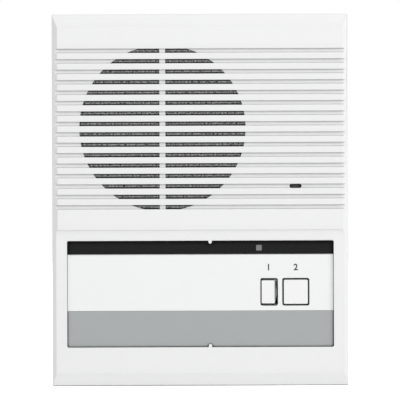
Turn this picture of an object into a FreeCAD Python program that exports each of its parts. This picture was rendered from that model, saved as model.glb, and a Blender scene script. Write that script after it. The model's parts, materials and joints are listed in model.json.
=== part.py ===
import FreeCAD, Part
import math
import operator
import os
from types import SimpleNamespace

import Sketcher

# A desk intercom: a two-part moulded case with a loudspeaker, a microphone, two keys on a panel and the
# amplifier board. Millimetres; +X right as seen from the front, -Y out of the face, +Z up. The origin is
# under the middle of the case, half way through its depth.

document = FreeCAD.newDocument("desk_intercom")

# ---------------------------------------------------------------------------------------------- sizes

CASE = {
    "unit_width": 150.0,
    "unit_height": 188.5,
    "unit_depth": 42.0,
    "cover_depth": 27.0,
    "case_wall": 3.0,
    "face_wall": 2.8,
    "back_wall": 2.2,
    "edge_radius": 0.9,
    "bevel_depth": 2.2,
    "side_bevel": 2.8,
    "top_bevel": 6.9,
    "bottom_bevel": 9.0,
    "lip_wall": 1.5,
    "lip_depth": 3.0,
    "fit_gap": 0.2,
    "step_rise": 5.4,
    "step_depth": 0.6,
    "step_lip": 0.25,
    "step_run": 2.8,
}
GRILLE = {
    "groove_count": 16,
    "groove_pitch": 5.28,
    "groove_width": 2.2,
    "groove_deep": 1.0,
    "groove_shallow": 0.7,
    "groove_drop": 0.85,
    "speaker_inset": 56.0,
    "speaker_rise": 0.45,
    "grille_radius": 42.1,
    "grille_rib": 3.0,
    "mic_inset": 26.7,
    "mic_groove": 13,
    "mic_slot_length": 6.1,
}
PANEL = {
    "panel_inset": 7.45,
    "panel_height": 54.0,
    "panel_bottom": 19.6,
    "panel_corner": 0.8,
    "panel_sink": 1.5,
    "panel_sheet": 0.7,
    "strip_sheet": 0.5,
    "strip_gap": 0.3,
    "window_height": 7.15,
    "name_height": 18.45,
    "tray_floor": 1.8,
    "tray_rim": 1.8,
    "tab_across": 4.95,
    "tab_width": 1.7,
    "tab_reach": 1.55,
    "tab_gap": 0.3,
    "lamp_shift": 18.6,
    "lamp_drop": 3.7,
    "lamp_side": 2.9,
}
KEYS = {
    "keys_rise": 27.9,
    "call_inset": 26.7,
    "call_opening": 13.75,
    "call_cap": 12.15,
    "call_cap_height": 12.25,
    "key_pitch": 13.5,
    "privacy_opening": 8.9,
    "privacy_cap": 6.55,
    "privacy_cap_height": 11.7,
    "privacy_shift": 0.55,
    "key_opening_height": 14.0,
    "key_corner": 1.0,
    "key_proud": 0.3,
    "key_top": 1.5,
    "key_wall": 0.9,
    "cap_corner": 0.6,
    "flange_sheet": 1.2,
    "flange_catch": 1.1,
    "flange_gap": 0.3,
    "wing_sink": 1.6,
    "collar_wall": 1.2,
    "collar_depth": 4.5,
    "plunger_radius": 1.0,
    "plunger_grip": 3.0,
    "plunger_in_switch": 1.5,
    "socket_wall": 0.6,
    "spring_radius": 2.1,
    "spring_wire": 0.35,
    "spring_turns": 4.5,
    "switch_side": 7.0,
    "switch_height": 5.0,
    "switch_floor": 0.8,
    "pin_radius": 0.35,
    "pin_spread": 2.5,
    "pin_stub": 1.3,
}
BOARDS = {
    "key_board_level": -6.0,
    "board_sheet": 1.6,
    "key_board_to_left": 25.8,
    "key_board_to_right": 14.2,
    "key_board_below": 18.5,
    "key_board_above": 4.1,
    "key_post_inset": 3.5,
    "key_post_rise": 16.0,
    "post_radius": 2.5,
    "main_board_level": 14.4,
    "main_board_side": 4.5,
    "main_board_width": 45.0,
    "main_board_foot": 11.0,
    "main_board_head": 9.5,
    "main_post_inset": 4.0,
    "header_width": 15.0,
    "header_height": 5.0,
    "header_depth": 6.0,
    "header_shift": 4.3,
    "key_header_rise": 6.0,
    "main_header_rise": 10.0,
    "ribbon_width": 12.7,
    "ribbon_sheet": 0.9,
    "ribbon_bend": 2.3,
}
SPEAKER = {
    "cloth_radius": 44.0,
    "cloth_sheet": 0.3,
    "gasket_sheet": 2.8,
    "gasket_width": 3.6,
    "flange_radius": 38.5,
    "basket_sheet": 0.8,
    "mouth_radius": 33.0,
    "ledge_radius": 19.0,
    "ledge_width": 2.0,
    "ledge_depth": 12.0,
    "basket_depth": 14.4,
    "basket_neck": 8.6,
    "basket_window": 15.0,
    "basket_rim": 2.4,
    "surround_sheet": 0.4,
    "roll_outer": 33.5,
    "roll_inner": 29.5,
    "surround_lip": 1.3,
    "cone_sheet": 0.5,
    "cone_depth": 9.0,
    "cap_radius": 9.5,
    "cap_rise": 2.4,
    "coil_radius": 7.45,
    "former_sheet": 0.3,
    "winding_sheet": 0.3,
    "winding_length": 3.0,
    "coil_gap": 0.3,
    "plate_radius": 16.0,
    "plate_sheet": 2.0,
    "magnet_radius": 18.0,
    "magnet_bore": 10.0,
    "magnet_height": 7.0,
    "speaker_boss_ring": 48.0,
    "speaker_boss_radius": 3.0,
    "clip_width": 8.0,
    "clip_sheet": 0.8,
    "clip_bite": 3.0,
    "terminal_width": 14.0,
    "terminal_height": 6.5,
    "terminal_sheet": 1.0,
}
PARTS = {
    "capsule_radius": 4.85,
    "capsule_height": 6.3,
    "boot_wall": 1.6,
    "boot_front": 1.0,
    "felt_sheet": 0.4,
    "boot_height": 6.8,
    "cup_wall": 1.2,
    "cup_height": 5.5,
    "mic_port_radius": 2.3,
    "led_radius": 1.5,
    "led_edge": 0.7,
    "led_rim": 0.4,
    "led_height": 3.2,
    "lamp_gap": 0.1,
    "lamp_rim": 0.8,
    "lamp_end_gap": 0.3,
    "self_tapper_radius": 1.1,
    "pan_head_radius": 2.2,
    "pan_head_height": 1.5,
    "drive_slot": 0.6,
    "thread_gap": 0.05,
    "screw_end_gap": 1.0,
    "wall_slot_spacing": 83.5,
    "wall_slot_rise": 13.75,
    "wall_slot_width": 4.6,
    "wall_slot_length": 9.0,
    "cable_entry_width": 30.0,
    "cable_entry_height": 22.0,
    "hook_inset": 30.0,
    "hook_width": 8.0,
    "hook_sheet": 1.8,
    "hook_barb": 1.2,
    "hook_play": 1.0,
    "ledge_sheet": 2.4,
    "ledge_drop": 1.3,
    "ledge_gap": 1.0,
    "lug_width": 10.0,
    "lug_height": 7.0,
    "lug_reach": 10.0,
    "lug_screw_inset": 6.0,
    "cover_screw_radius": 1.45,
    "cover_screw_length": 8.0,
    "cover_screw_head": 2.75,
    "core_width": 24.0,
    "core_height": 20.0,
    "core_stack": 8.0,
    "core_leg": 8.0,
    "core_window": 4.0,
    "core_yoke": 4.0,
    "winding_gap": 0.2,
    "transformer_side": 22.5,
    "transformer_drop": 26.0,
    "chip_width": 6.4,
    "chip_length": 19.0,
    "chip_height": 3.4,
    "chip_stand": 0.5,
    "chip_side": 15.5,
    "chip_rise": 82.0,
    "leg_pitch": 2.54,
    "leg_rows": 7,
    "leg_width": 0.5,
    "leg_sheet": 0.3,
    "leg_reach": 1.0,
    "leg_root": 0.2,
    "block_side": 7.0,
    "block_pitch": 5.0,
    "block_width": 9.0,
    "block_height": 10.0,
    "block_ways": 6,
    "well_radius": 1.9,
    "well_depth": 4.0,
    "wire_hole_radius": 1.5,
    "wire_hole_depth": 4.0,
    "resistor_radius": 1.2,
    "resistor_length": 6.3,
    "resistor_bulge": 0.6,
    "resistor_neck": 1.6,
    "resistor_side": 8.0,
    "resistor_rise": 28.0,
    "resistor_pitch": 4.5,
    "resistor_count": 6,
    "lead_radius": 0.3,
    "can_edge": 0.6,
    "tall_can_radius": 5.0,
    "tall_can_height": 16.0,
    "tall_can_side": 12.0,
    "tall_can_rise": 58.0,
    "short_can_radius": 3.15,
    "short_can_height": 11.0,
    "short_can_side": 10.0,
    "short_can_rise": 44.0,
    "short_can_pitch": 10.0,
}


class Size:
    """A length together with the sheet formula that gives it."""

    def __init__(self, formula, value):
        self.formula = formula
        self.value = value

    def __neg__(self):
        return Size(f"(0 - {self.formula})", -self.value)


def root(length):
    return Size(f"sqrt({length.formula})", math.sqrt(length.value))


def formula_of(length):
    return length.formula if isinstance(length, Size) else repr(float(length))


def value_of(length):
    return length.value if isinstance(length, Size) else float(length)


def arithmetic(sign, action):
    def forward(left, right):
        formula = f"({formula_of(left)} {sign} {formula_of(right)})"
        return Size(formula, action(value_of(left), value_of(right)))

    def backward(right, left):
        return forward(left, right)

    return forward, backward


Size.__add__, Size.__radd__ = arithmetic("+", operator.add)
Size.__sub__, Size.__rsub__ = arithmetic("-", operator.sub)
Size.__mul__, Size.__rmul__ = arithmetic("*", operator.mul)
Size.__truediv__, Size.__rtruediv__ = arithmetic("/", operator.truediv)


def fill_sheet(groups):
    """Writes the driving sizes into the spreadsheet and returns them by name."""
    sheet = document.addObject("Spreadsheet::Sheet", "Sizes")
    sizes = SimpleNamespace()
    names = []
    row = 0
    for group in groups:
        for name, number in group.items():
            row += 1
            sheet.set(f"A{row}", name)
            sheet.set(f"B{row}", str(number))
            sheet.setAlias(f"B{row}", name)
            names.append(name)
    document.recompute()
    for name in names:
        setattr(sizes, name, Size(f"Sizes.{name}", float(sheet.get(name))))
    return sizes


s = fill_sheet([CASE, GRILLE, PANEL, KEYS, BOARDS, SPEAKER, PARTS])

# Levels through the depth, from the face to the back.
face = -s.unit_depth / 2
back = s.unit_depth / 2
bevel_foot = face + s.bevel_depth
parting = face + s.cover_depth
face_inner = face + s.face_wall
back_inner = back - s.back_wall
lower_face = face + s.step_depth
panel_front = lower_face + s.panel_sink
sheet_front = panel_front + s.strip_sheet
tray_front = sheet_front + s.panel_sheet
tray_back = tray_front + s.tray_floor
key_board_front = s.key_board_level
key_board_back = s.key_board_level + s.board_sheet
switch_front = key_board_front - s.switch_height
main_board_front = s.main_board_level
main_board_back = s.main_board_level + s.board_sheet
cloth_back = face_inner + s.cloth_sheet
surround_front = cloth_back + s.gasket_sheet
speaker_front = surround_front + s.surround_sheet
flange_back = speaker_front + s.basket_sheet

half_width = s.unit_width / 2
inner_half = half_width - s.case_wall
inner_bottom = s.case_wall
inner_top = s.unit_height - s.case_wall
panel_half = half_width - s.panel_inset
panel_top = s.panel_bottom + s.panel_height
step_level = panel_top + s.step_rise

# The grille stands midway between the panel and the top.
grille_level = (panel_top + s.unit_height) / 2 - s.groove_drop
groove_top = grille_level + s.groove_pitch * (s.groove_count - 1) / 2
speaker_across = s.speaker_inset - half_width
speaker_level = grille_level + s.speaker_rise
mic_across = half_width - s.mic_inset
mic_level = groove_top - s.groove_pitch * s.mic_groove

# The keys and the lamp, with the board behind them.
keys_level = s.panel_bottom + s.keys_rise
call_across = half_width - s.call_inset
privacy_across = call_across - s.key_pitch
lamp_across = call_across - s.lamp_shift
lamp_level = panel_top - s.lamp_drop
key_board_left = call_across - s.key_board_to_left
key_board_right = call_across + s.key_board_to_right
key_board_bottom = keys_level - s.key_board_below
key_board_top = lamp_level + s.key_board_above
header_across = call_across - s.header_shift
key_header_level = key_board_bottom + s.key_header_rise

# The main board and what stands on it.
wall_slot_level = s.unit_height / 2 + s.wall_slot_rise
main_board_right = inner_half - s.main_board_side
main_board_left = main_board_right - s.main_board_width
main_board_bottom = inner_bottom + s.main_board_foot
main_board_top = inner_top - s.main_board_head
main_header_level = main_board_bottom + s.main_header_rise
block_across = main_board_left + s.block_side
hook_across = half_width - s.hook_inset
over = 1.0

# ---------------------------------------------------------------------------------- drawing functions

nodes = {}
PLANES = {"X": ("YZ_Plane", 1.0), "Y": ("XZ_Plane", -1.0), "Z": ("XY_Plane", 1.0)}


def bind(thing, path, length):
    """Ties a property, or an item of one, to the formula of a length."""
    thing.setExpression(path, formula_of(length))


def part_body(name):
    body = document.addObject("PartDesign::Body", name)
    body.AllowCompound = True
    return body


def keep(name, thing):
    """Makes an object the sub-part of that name."""
    thing.Label = name
    nodes[name] = thing
    return thing


def move(thing, across=0.0, depth=0.0, level=0.0):
    for axis, length in zip("xyz", (across, depth, level)):
        bind(thing, f"Placement.Base.{axis}", length)


def origin_plane(body, role):
    return next(item for item in body.Origin.OriginFeatures if item.Role == role)


def sketch_on(body, axis, start, name):
    """A sketch square to an axis; across Y it is drawn in X and Z, across X in Y and Z."""
    role, facing = PLANES[axis]
    sketch = body.newObject("Sketcher::SketchObject", name)
    sketch.AttachmentSupport = (origin_plane(body, role), [""])
    sketch.MapMode = "FlatFace"
    bind(sketch, "AttachmentOffset.Base.z", start * facing)
    return sketch


def pin_point(sketch, item, point, x, y):
    """Holds a point of a sketch at its distances from the origin."""
    for kind, length in (("DistanceX", x), ("DistanceY", y)):
        number = sketch.addConstraint(Sketcher.Constraint(kind, -1, 1, item, point, value_of(length)))
        bind(sketch, f"Constraints[{number}]", length)


def hold_radius(sketch, item, radius):
    number = sketch.addConstraint(Sketcher.Constraint("Radius", item, value_of(radius)))
    bind(sketch, f"Constraints[{number}]", radius)


def hold_middle(sketch, item, start, end):
    """Holds the centre of a half-round arc midway between its ends."""
    upright = abs(value_of(end[1] - start[1])) > abs(value_of(end[0] - start[0]))
    kind, place = ("DistanceX", 0) if upright else ("DistanceY", 1)
    middle = (start[place] + end[place]) / 2
    number = sketch.addConstraint(Sketcher.Constraint(kind, -1, 1, item, 3, value_of(middle)))
    bind(sketch, f"Constraints[{number}]", middle)


def arc_between(start, end, radius):
    """The arc from start to end; a radius above zero bulges to the right of the way."""
    chord = end - start
    size = abs(radius)
    reach = math.sqrt(max(size**2 - (chord.Length / 2) ** 2, 0.0))
    left = FreeCAD.Vector(-chord.y, chord.x, 0).normalize()
    centre = (start + end) / 2 + left * (reach if radius > 0 else -reach)
    first, last = (start, end) if radius > 0 else (end, start)
    angles = [math.atan2(point.y - centre.y, point.x - centre.x) for point in (first, last)]
    circle = Part.Circle(centre, FreeCAD.Vector(0, 0, 1), size)
    return Part.ArcOfCircle(circle, angles[0], angles[1])


def outline(sketch, corners):
    """A closed outline. A corner is (x, y), or (x, y, radius) where an arc of that radius leads to it."""
    points = [FreeCAD.Vector(value_of(c[0]), value_of(c[1]), 0) for c in corners]
    ends = []
    for number, corner in enumerate(corners):
        start = points[number - 1]
        end = points[number]
        if len(corner) == 3:
            radius = value_of(corner[2])
            item = sketch.addGeometry(arc_between(start, end, radius), False)
            if abs((end - start).Length / 2 - abs(radius)) < 1e-6:
                hold_middle(sketch, item, corners[number - 1], corner)
            else:
                hold_radius(sketch, item, corner[2] if radius > 0 else -corner[2])
            ends.append((item, 1, 2) if radius > 0 else (item, 2, 1))
        else:
            item = sketch.addGeometry(Part.LineSegment(start, end), False)
            ends.append((item, 1, 2))
    for number, corner in enumerate(corners):
        item, _, finish = ends[number]
        following, begin, _ = ends[(number + 1) % len(corners)]
        sketch.addConstraint(Sketcher.Constraint("Coincident", item, finish, following, begin))
        pin_point(sketch, item, finish, corner[0], corner[1])


def rectangle(sketch, left, right, bottom, top):
    outline(sketch, [(left, bottom), (right, bottom), (right, top), (left, top)])


def centred(sketch, x, y, width, height):
    rectangle(sketch, x - width / 2, x + width / 2, y - height / 2, y + height / 2)


def many_sided(sketch, x, y, radius, sides):
    """A regular outline round a centre, flat side down."""
    corners = []
    for number in range(sides):
        angle = math.tau * (number + 0.5) / sides - math.pi / 2
        corners.append((x + radius * math.cos(angle), y + radius * math.sin(angle)))
    outline(sketch, corners)


def clearing(radius, sides=8):
    """The corner radius of a many-sided hole that clears a round of the given radius."""
    return radius / math.cos(math.pi / sides)


def slot(sketch, x, y, length, width, upright=False):
    """An opening with round ends, lying or upright, around its centre."""
    run = (length - width) / 2
    side = width / 2
    if upright:
        corners = [(x + side, y - run), (x + side, y + run), (x - side, y + run, side)]
        corners += [(x - side, y - run), (x + side, y - run, side)]
    else:
        corners = [(x - run, y - side), (x + run, y - side), (x + run, y + side, side)]
        corners += [(x - run, y + side), (x - run, y - side, side)]
    outline(sketch, corners[1:])


def pad(body, name, axis, start, end, draw):
    """Adds the drawn outline from one level to the next along an axis."""
    sketch = sketch_on(body, axis, start, f"{name}_outline")
    draw(sketch)
    feature = body.newObject("PartDesign::Pad", name)
    feature.Profile = sketch
    feature.Reversed = axis == "Y"
    bind(feature, "Length", end - start)
    return feature


def pocket(body, name, axis, start, end, draw):
    """Cuts the drawn outline from one level to the next along an axis."""
    sketch = sketch_on(body, axis, start, f"{name}_outline")
    draw(sketch)
    feature = body.newObject("PartDesign::Pocket", name)
    feature.Profile = sketch
    feature.Reversed = axis != "Y"
    bind(feature, "Length", end - start)
    return feature


def round_solid(corners, sides):
    """A solid about the Y axis with flat sides, from an outline in radius and depth."""
    rings = []
    for radius, depth in corners:
        angles = [math.tau * number / sides for number in range(sides + 1)]
        reach = value_of(radius)
        level = value_of(depth)
        rings.append([FreeCAD.Vector(reach * math.cos(a), level, reach * math.sin(a)) for a in angles])
    faces = []
    for number, ring_end in enumerate(rings):
        ring_start = rings[number - 1]
        for side in range(sides):
            loop = [ring_start[side], ring_start[side + 1], ring_end[side + 1], ring_end[side]]
            corners_left = [p for n, p in enumerate(loop) if (p - loop[n - 1]).Length > 1e-7]
            if len(corners_left) > 2:
                faces.append(Part.Face(Part.makePolygon(corners_left + corners_left[:1])))
    solid = Part.makeSolid(Part.makeShell(faces)).removeSplitter()
    return solid if solid.Volume > 0 else solid.reversed()


def turned(name, corners, sides=16):
    """A small or hidden turned piece, kept to flat sides so that the whole set stays light."""
    piece = document.addObject("Part::Feature", f"{name}_turning")
    piece.Shape = round_solid(corners, sides)
    return piece


def ring(name, inner, outer, start, end, sides=16):
    return turned(name, [(inner, start), (outer, start), (outer, end), (inner, end)], sides)


def box_body(name, left, right, front, rear, bottom, top):
    body = part_body(f"{name}_body")
    pad(body, f"{name}_block", "Y", front, rear, lambda k: rectangle(k, left, right, bottom, top))
    return body


def repeat_along(body, name, feature, sketch_axis, pitch, count):
    """Repeats a feature along an axis of its own sketch."""
    pattern = body.newObject("PartDesign::LinearPattern", name)
    pattern.Originals = [feature]
    pattern.Direction = (feature.Profile[0], [sketch_axis])
    pattern.Mode = "Spacing"
    pattern.Reversed = True
    bind(pattern, "Offset", pitch)
    bind(pattern, "Occurrences", count)
    body.Tip = pattern
    return pattern


def along(edge, axis):
    """Whether an edge is straight and runs along an axis."""
    if len(edge.Vertexes) != 2 or not isinstance(edge.Curve, Part.Line):
        return False
    return abs(abs(edge.tangentAt(edge.FirstParameter).dot(axis)) - 1) < 1e-6


def round_edges(body, name, radius, wanted):
    """Rounds those edges of a body that a test picks out."""
    document.recompute()
    base = body.Tip
    names = [f"Edge{n + 1}" for n, edge in enumerate(base.Shape.Edges) if wanted(edge)]
    feature = body.newObject("PartDesign::Fillet", name)
    feature.Base = (base, names)
    bind(feature, "Radius", radius)
    return feature


def near(first, second):
    return abs(first - value_of(second)) < 1e-4


X_AXIS = FreeCAD.Vector(1, 0, 0)
Y_AXIS = FreeCAD.Vector(0, 1, 0)
Z_AXIS = FreeCAD.Vector(0, 0, 1)
FACING_FRONT = FreeCAD.Rotation(Z_AXIS, 180)
FACING_DOWN = FreeCAD.Rotation(X_AXIS, -90)


def group(name, master, places):
    """One sub-part of like solids: each place is (x, y, z, rotation) of the master."""
    copies = []
    for number, (across, depth, level, turn) in enumerate(places):
        copy = document.addObject("App::Link", f"{name}_{number + 1}")
        copy.LinkedObject = master
        copy.Placement = FreeCAD.Placement(FreeCAD.Vector(), turn)
        move(copy, across, depth, level)
        copies.append(copy)
    compound = document.addObject("Part::Compound", f"{name}_group")
    compound.Links = copies
    return keep(name, compound)


def screw(name, shank_radius, shank_length, head_radius, head_height):
    """A slotted screw: its seat at the origin, its head towards +Y."""
    body = part_body(name)
    middle = [(0.0, 0.0)]
    pad(body, f"{name}_shank", "Y", -shank_length, 0.0, sided(middle, shank_radius, 6))
    pad(body, f"{name}_head", "Y", 0.0, head_height, sided(middle, head_radius, 8))
    pocket(
        body,
        f"{name}_slot",
        "Y",
        head_height / 2,
        head_height + over,
        lambda k: centred(k, 0.0, 0.0, head_radius * 2 + over, s.drive_slot),
    )
    return body


# ------------------------------------------------------------------------------------------- the case


def key_posts():
    inset = s.key_post_inset
    return [
        (key_board_left + inset, key_board_bottom + inset),
        (key_board_right - inset, key_board_bottom + inset),
        (key_board_right - inset, keys_level + s.key_post_rise),
        (key_board_left + inset, keys_level + s.key_post_rise),
    ]


def main_posts():
    inset = s.main_post_inset
    return [
        (main_board_left + inset, main_board_bottom + inset),
        (main_board_right - inset, main_board_bottom + inset),
        (main_board_right - inset, main_board_top - inset),
        (main_board_left + inset, main_board_top - inset),
    ]


def speaker_bosses():
    places = []
    for quarter in range(4):
        angle = math.radians(45 + 90 * quarter)
        across = speaker_across + s.speaker_boss_ring * math.cos(angle)
        level = speaker_level + s.speaker_boss_ring * math.sin(angle)
        places.append((across, level))
    return places


def sided(places, radius, sides=8):
    """Draws a many-sided outline at each place: posts, cored holes and pins."""

    def draw(sketch):
        for x, y in places:
            many_sided(sketch, x, y, radius, sides)

    return draw


def cover_shell(body):
    """The bevelled face and the walls, down to the parting line."""
    pad(
        body,
        "cover_block",
        "Y",
        face,
        parting,
        lambda k: rectangle(k, -half_width, half_width, 0.0, s.unit_height),
    )
    crest = half_width - s.side_bevel

    def draw_sides(sketch):
        for side in (-1, 1):
            corners = [
                (half_width * side, bevel_foot),
                (crest * side, face),
                (crest * side, face - over),
                ((half_width + over) * side, face - over),
                ((half_width + over) * side, bevel_foot),
            ]
            outline(sketch, corners)

    pocket(body, "side_bevels", "Z", -over, s.unit_height + over, draw_sides)

    def draw_ends(sketch):
        ends = ((0.0, s.bottom_bevel, -over), (s.unit_height, s.unit_height - s.top_bevel, over))
        for edge, crest_level, beyond in ends:
            corners = [
                (bevel_foot, edge),
                (face, crest_level),
                (face - over, crest_level),
                (face - over, edge + beyond),
                (bevel_foot, edge + beyond),
            ]
            outline(sketch, corners)

    pocket(body, "end_bevels", "X", -half_width - over, half_width + over, draw_ends)

    def outer_edge(edge):
        middle = edge.CenterOfMass
        round_the_face = near(middle.y, bevel_foot) and not along(edge, Y_AXIS)
        return round_the_face or (along(edge, Y_AXIS) and middle.y > value_of(bevel_foot))

    round_edges(body, "cover_edges", s.edge_radius, outer_edge)


def cover_step(body):
    """The lower face lies back behind the grille: a small lip, then a hollow sweep."""
    fall = s.step_depth - s.step_lip
    sweep = (s.step_run * s.step_run + fall * fall) / (fall * 2)

    def draw(sketch):
        corners = [
            (face - over, -over),
            (lower_face, -over),
            (lower_face, step_level - s.step_run),
            (face + s.step_lip, step_level, sweep),
            (face - over, step_level),
        ]
        outline(sketch, corners)

    pocket(body, "lower_face", "X", -half_width - over, half_width + over, draw)


def cover_grooves(body):
    """The grille's grooves: deep along their upper edge, shallow along the lower."""
    upper = groove_top + s.groove_width / 2
    lower = groove_top - s.groove_width / 2

    def draw(sketch):
        corners = [
            (face - over, lower),
            (face + s.groove_shallow, lower),
            (face + s.groove_deep, upper),
            (face - over, upper),
        ]
        outline(sketch, corners)

    groove = pocket(body, "groove", "X", -half_width - over, half_width + over, draw)
    repeat_along(body, "grooves", groove, "V_Axis", s.groove_pitch, s.groove_count)


def cover_hollow(body):
    pocket(
        body,
        "cover_hollow",
        "Y",
        face_inner,
        parting + over,
        lambda k: rectangle(k, -inner_half, inner_half, inner_bottom, inner_top),
    )
    lip = s.case_wall - s.lip_wall
    pocket(
        body,
        "lip_rebate",
        "Y",
        parting - s.lip_depth - s.fit_gap,
        parting + over,
        lambda k: rectangle(k, -half_width + lip, half_width - lip, lip, s.unit_height - lip),
    )


def cover_tray(body):
    """The sunk tray for the panel, with its two small catches."""
    rim = s.tray_rim
    pad(
        body,
        "tray_back",
        "Y",
        face_inner - s.fit_gap,
        tray_back,
        lambda k: rectangle(
            k, -panel_half - rim, panel_half + rim, s.panel_bottom - rim, panel_top + rim
        ),
    )
    pocket(
        body,
        "tray",
        "Y",
        face - over,
        tray_front,
        lambda k: rectangle(k, -panel_half, panel_half, s.panel_bottom, panel_top),
    )

    def tray_corner(edge):
        middle = edge.CenterOfMass
        at_side = near(abs(middle.x), panel_half)
        return along(edge, Y_AXIS) and at_side and middle.y < value_of(tray_front)

    round_edges(body, "tray_corners", s.panel_corner, tray_corner)

    side = s.tab_width / 2
    reach = s.tab_reach - side

    def draw_tabs(sketch):
        left = s.tab_across - side
        right = s.tab_across + side
        low = s.panel_bottom + reach
        high = panel_top - reach
        foot = s.panel_bottom - over
        head = panel_top + over
        outline(sketch, [(left, foot), (right, foot), (right, low), (left, low, side)])
        outline(sketch, [(right, head), (left, head), (left, high), (right, high, side)])

    pad(body, "tabs", "Y", lower_face, panel_front - s.tab_gap, draw_tabs)


def cover_key_places(body):
    """Openings in the tray floor, the collar that guides the keys and the hole for the lamp guide."""
    call_half = s.call_opening / 2 + s.fit_gap
    privacy_half = s.privacy_opening / 2 + s.fit_gap
    key_half = s.key_opening_height / 2 + s.fit_gap
    hole = s.lamp_side + s.lamp_gap * 2

    def draw_openings(sketch):
        centred(sketch, call_across, keys_level, call_half * 2, key_half * 2)
        centred(sketch, privacy_across, keys_level, privacy_half * 2, key_half * 2)
        centred(sketch, lamp_across, lamp_level, hole, hole)

    pocket(body, "tray_openings", "Y", tray_front - s.fit_gap, tray_back + over, draw_openings)

    middle = collar_middle()
    call_reach = call_across - middle - s.collar_wall / 2
    privacy_reach = middle - privacy_across - s.collar_wall / 2
    rise = flange_half() + s.fit_gap

    def draw_collar(sketch):
        rectangle(
            sketch,
            privacy_across - privacy_reach - s.collar_wall,
            call_across + call_reach + s.collar_wall,
            keys_level - rise - s.collar_wall,
            keys_level + rise + s.collar_wall,
        )
        centred(sketch, call_across, keys_level, call_reach * 2, rise * 2)
        centred(sketch, privacy_across, keys_level, privacy_reach * 2, rise * 2)

    pad(body, "key_collar", "Y", tray_back, tray_back + s.collar_depth, draw_collar)


def collar_middle():
    """Where the wall between the two keys stands."""
    privacy_side = privacy_across + s.privacy_opening / 2
    call_side = call_across - s.call_opening / 2
    return (privacy_side + call_side) / 2


def flange_half():
    """Half the height of a key's flange, which catches behind the tray floor."""
    return s.key_opening_height / 2 + s.fit_gap + s.flange_catch


def cover_posts(body):
    """Posts for the key board, bosses for the loudspeaker and the cup for the microphone."""
    posts = sided(key_posts(), s.post_radius, 12)
    pad(body, "key_posts", "Y", tray_back - s.fit_gap, key_board_front, posts)
    bore = clearing(s.self_tapper_radius + s.thread_gap)
    pocket(body, "key_post_bores", "Y", tray_back, key_board_front + over, sided(key_posts(), bore))
    pad(
        body,
        "speaker_bosses",
        "Y",
        face_inner - s.fit_gap,
        flange_back,
        sided(speaker_bosses(), s.speaker_boss_radius, 12),
    )
    pocket(body, "speaker_boss_bores", "Y", face_inner, flange_back + over, sided(speaker_bosses(), bore))
    cup_inner = s.capsule_radius + s.boot_wall + s.fit_gap

    def draw_cup(sketch):
        many_sided(sketch, mic_across, mic_level, cup_inner + s.cup_wall, 16)
        many_sided(sketch, mic_across, mic_level, clearing(cup_inner, 16), 16)

    pad(body, "mic_cup", "Y", face_inner - s.fit_gap, face_inner + s.cup_height, draw_cup)
    pocket(
        body,
        "mic_slot",
        "Y",
        face - over,
        face_inner + over,
        lambda k: slot(k, mic_across, mic_level, s.mic_slot_length, s.groove_width),
    )


def ledge_front():
    return parting - s.lip_depth - s.fit_gap - s.ledge_sheet - s.ledge_gap


def cover_joint(body):
    """Ledges for the top hooks and the sunk hole for the screw in the lower edge."""

    def draw_ledges(sketch):
        for side in (-1, 1):
            centre = hook_across * side
            half = s.hook_width / 2 + s.hook_play
            rectangle(sketch, centre - half, centre + half, inner_top - s.ledge_drop, inner_top + over)

    pad(body, "hook_ledges", "Y", ledge_front(), ledge_front() + s.ledge_sheet, draw_ledges)
    clearance = s.cover_screw_radius + s.fit_gap
    sunk = s.cover_screw_head + s.fit_gap
    depth = cover_screw_depth()
    pocket(
        body,
        "screw_hole",
        "Z",
        -over,
        inner_bottom + over,
        sided([(0.0, depth)], clearing(clearance, 12), 12),
    )
    sink = sided([(0.0, depth)], clearing(sunk, 16), 16)
    pocket(body, "screw_sink", "Z", -over, screw_seat(), sink)


def cover_screw_depth():
    """How far back the cover screw stands."""
    return parting - s.lug_screw_inset


def screw_seat():
    return s.pan_head_height + s.fit_gap


def grille_slots():
    """What opens the grille: strips in line with the grooves, within two halves of a circle."""
    start = face + s.groove_shallow / 2
    end = face_inner + over
    reach = s.grille_radius + over
    strips = part_body("slot_strips")
    strip = pad(
        strips,
        "strip",
        "Y",
        start,
        end,
        lambda k: centred(k, speaker_across, groove_top, reach * 2, s.groove_width),
    )
    repeat_along(strips, "strips", strip, "V_Axis", s.groove_pitch, s.groove_count)
    halves = part_body("slot_halves")
    half_rib = s.grille_rib / 2
    rise = root(s.grille_radius * s.grille_radius - half_rib * half_rib)

    def draw_halves(sketch):
        low = speaker_level - rise
        high = speaker_level + rise
        right = speaker_across + half_rib
        left = speaker_across - half_rib
        outline(sketch, [(right, low), (right, high, s.grille_radius)])
        outline(sketch, [(left, high), (left, low, s.grille_radius)])

    pad(halves, "halves", "Y", start - over, end + over, draw_halves)
    openings = document.addObject("Part::Common", "grille_slots")
    openings.Base = strips
    openings.Tool = halves
    return openings


def front_cover():
    body = part_body("cover_moulding")
    cover_shell(body)
    cover_step(body)
    cover_grooves(body)
    cover_hollow(body)
    cover_tray(body)
    cover_key_places(body)
    cover_posts(body)
    cover_joint(body)
    cut = document.addObject("Part::Cut", "cover_with_grille")
    cut.Base = body
    cut.Tool = grille_slots()
    cut.Refine = True
    keep("front_cover", cut)


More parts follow.
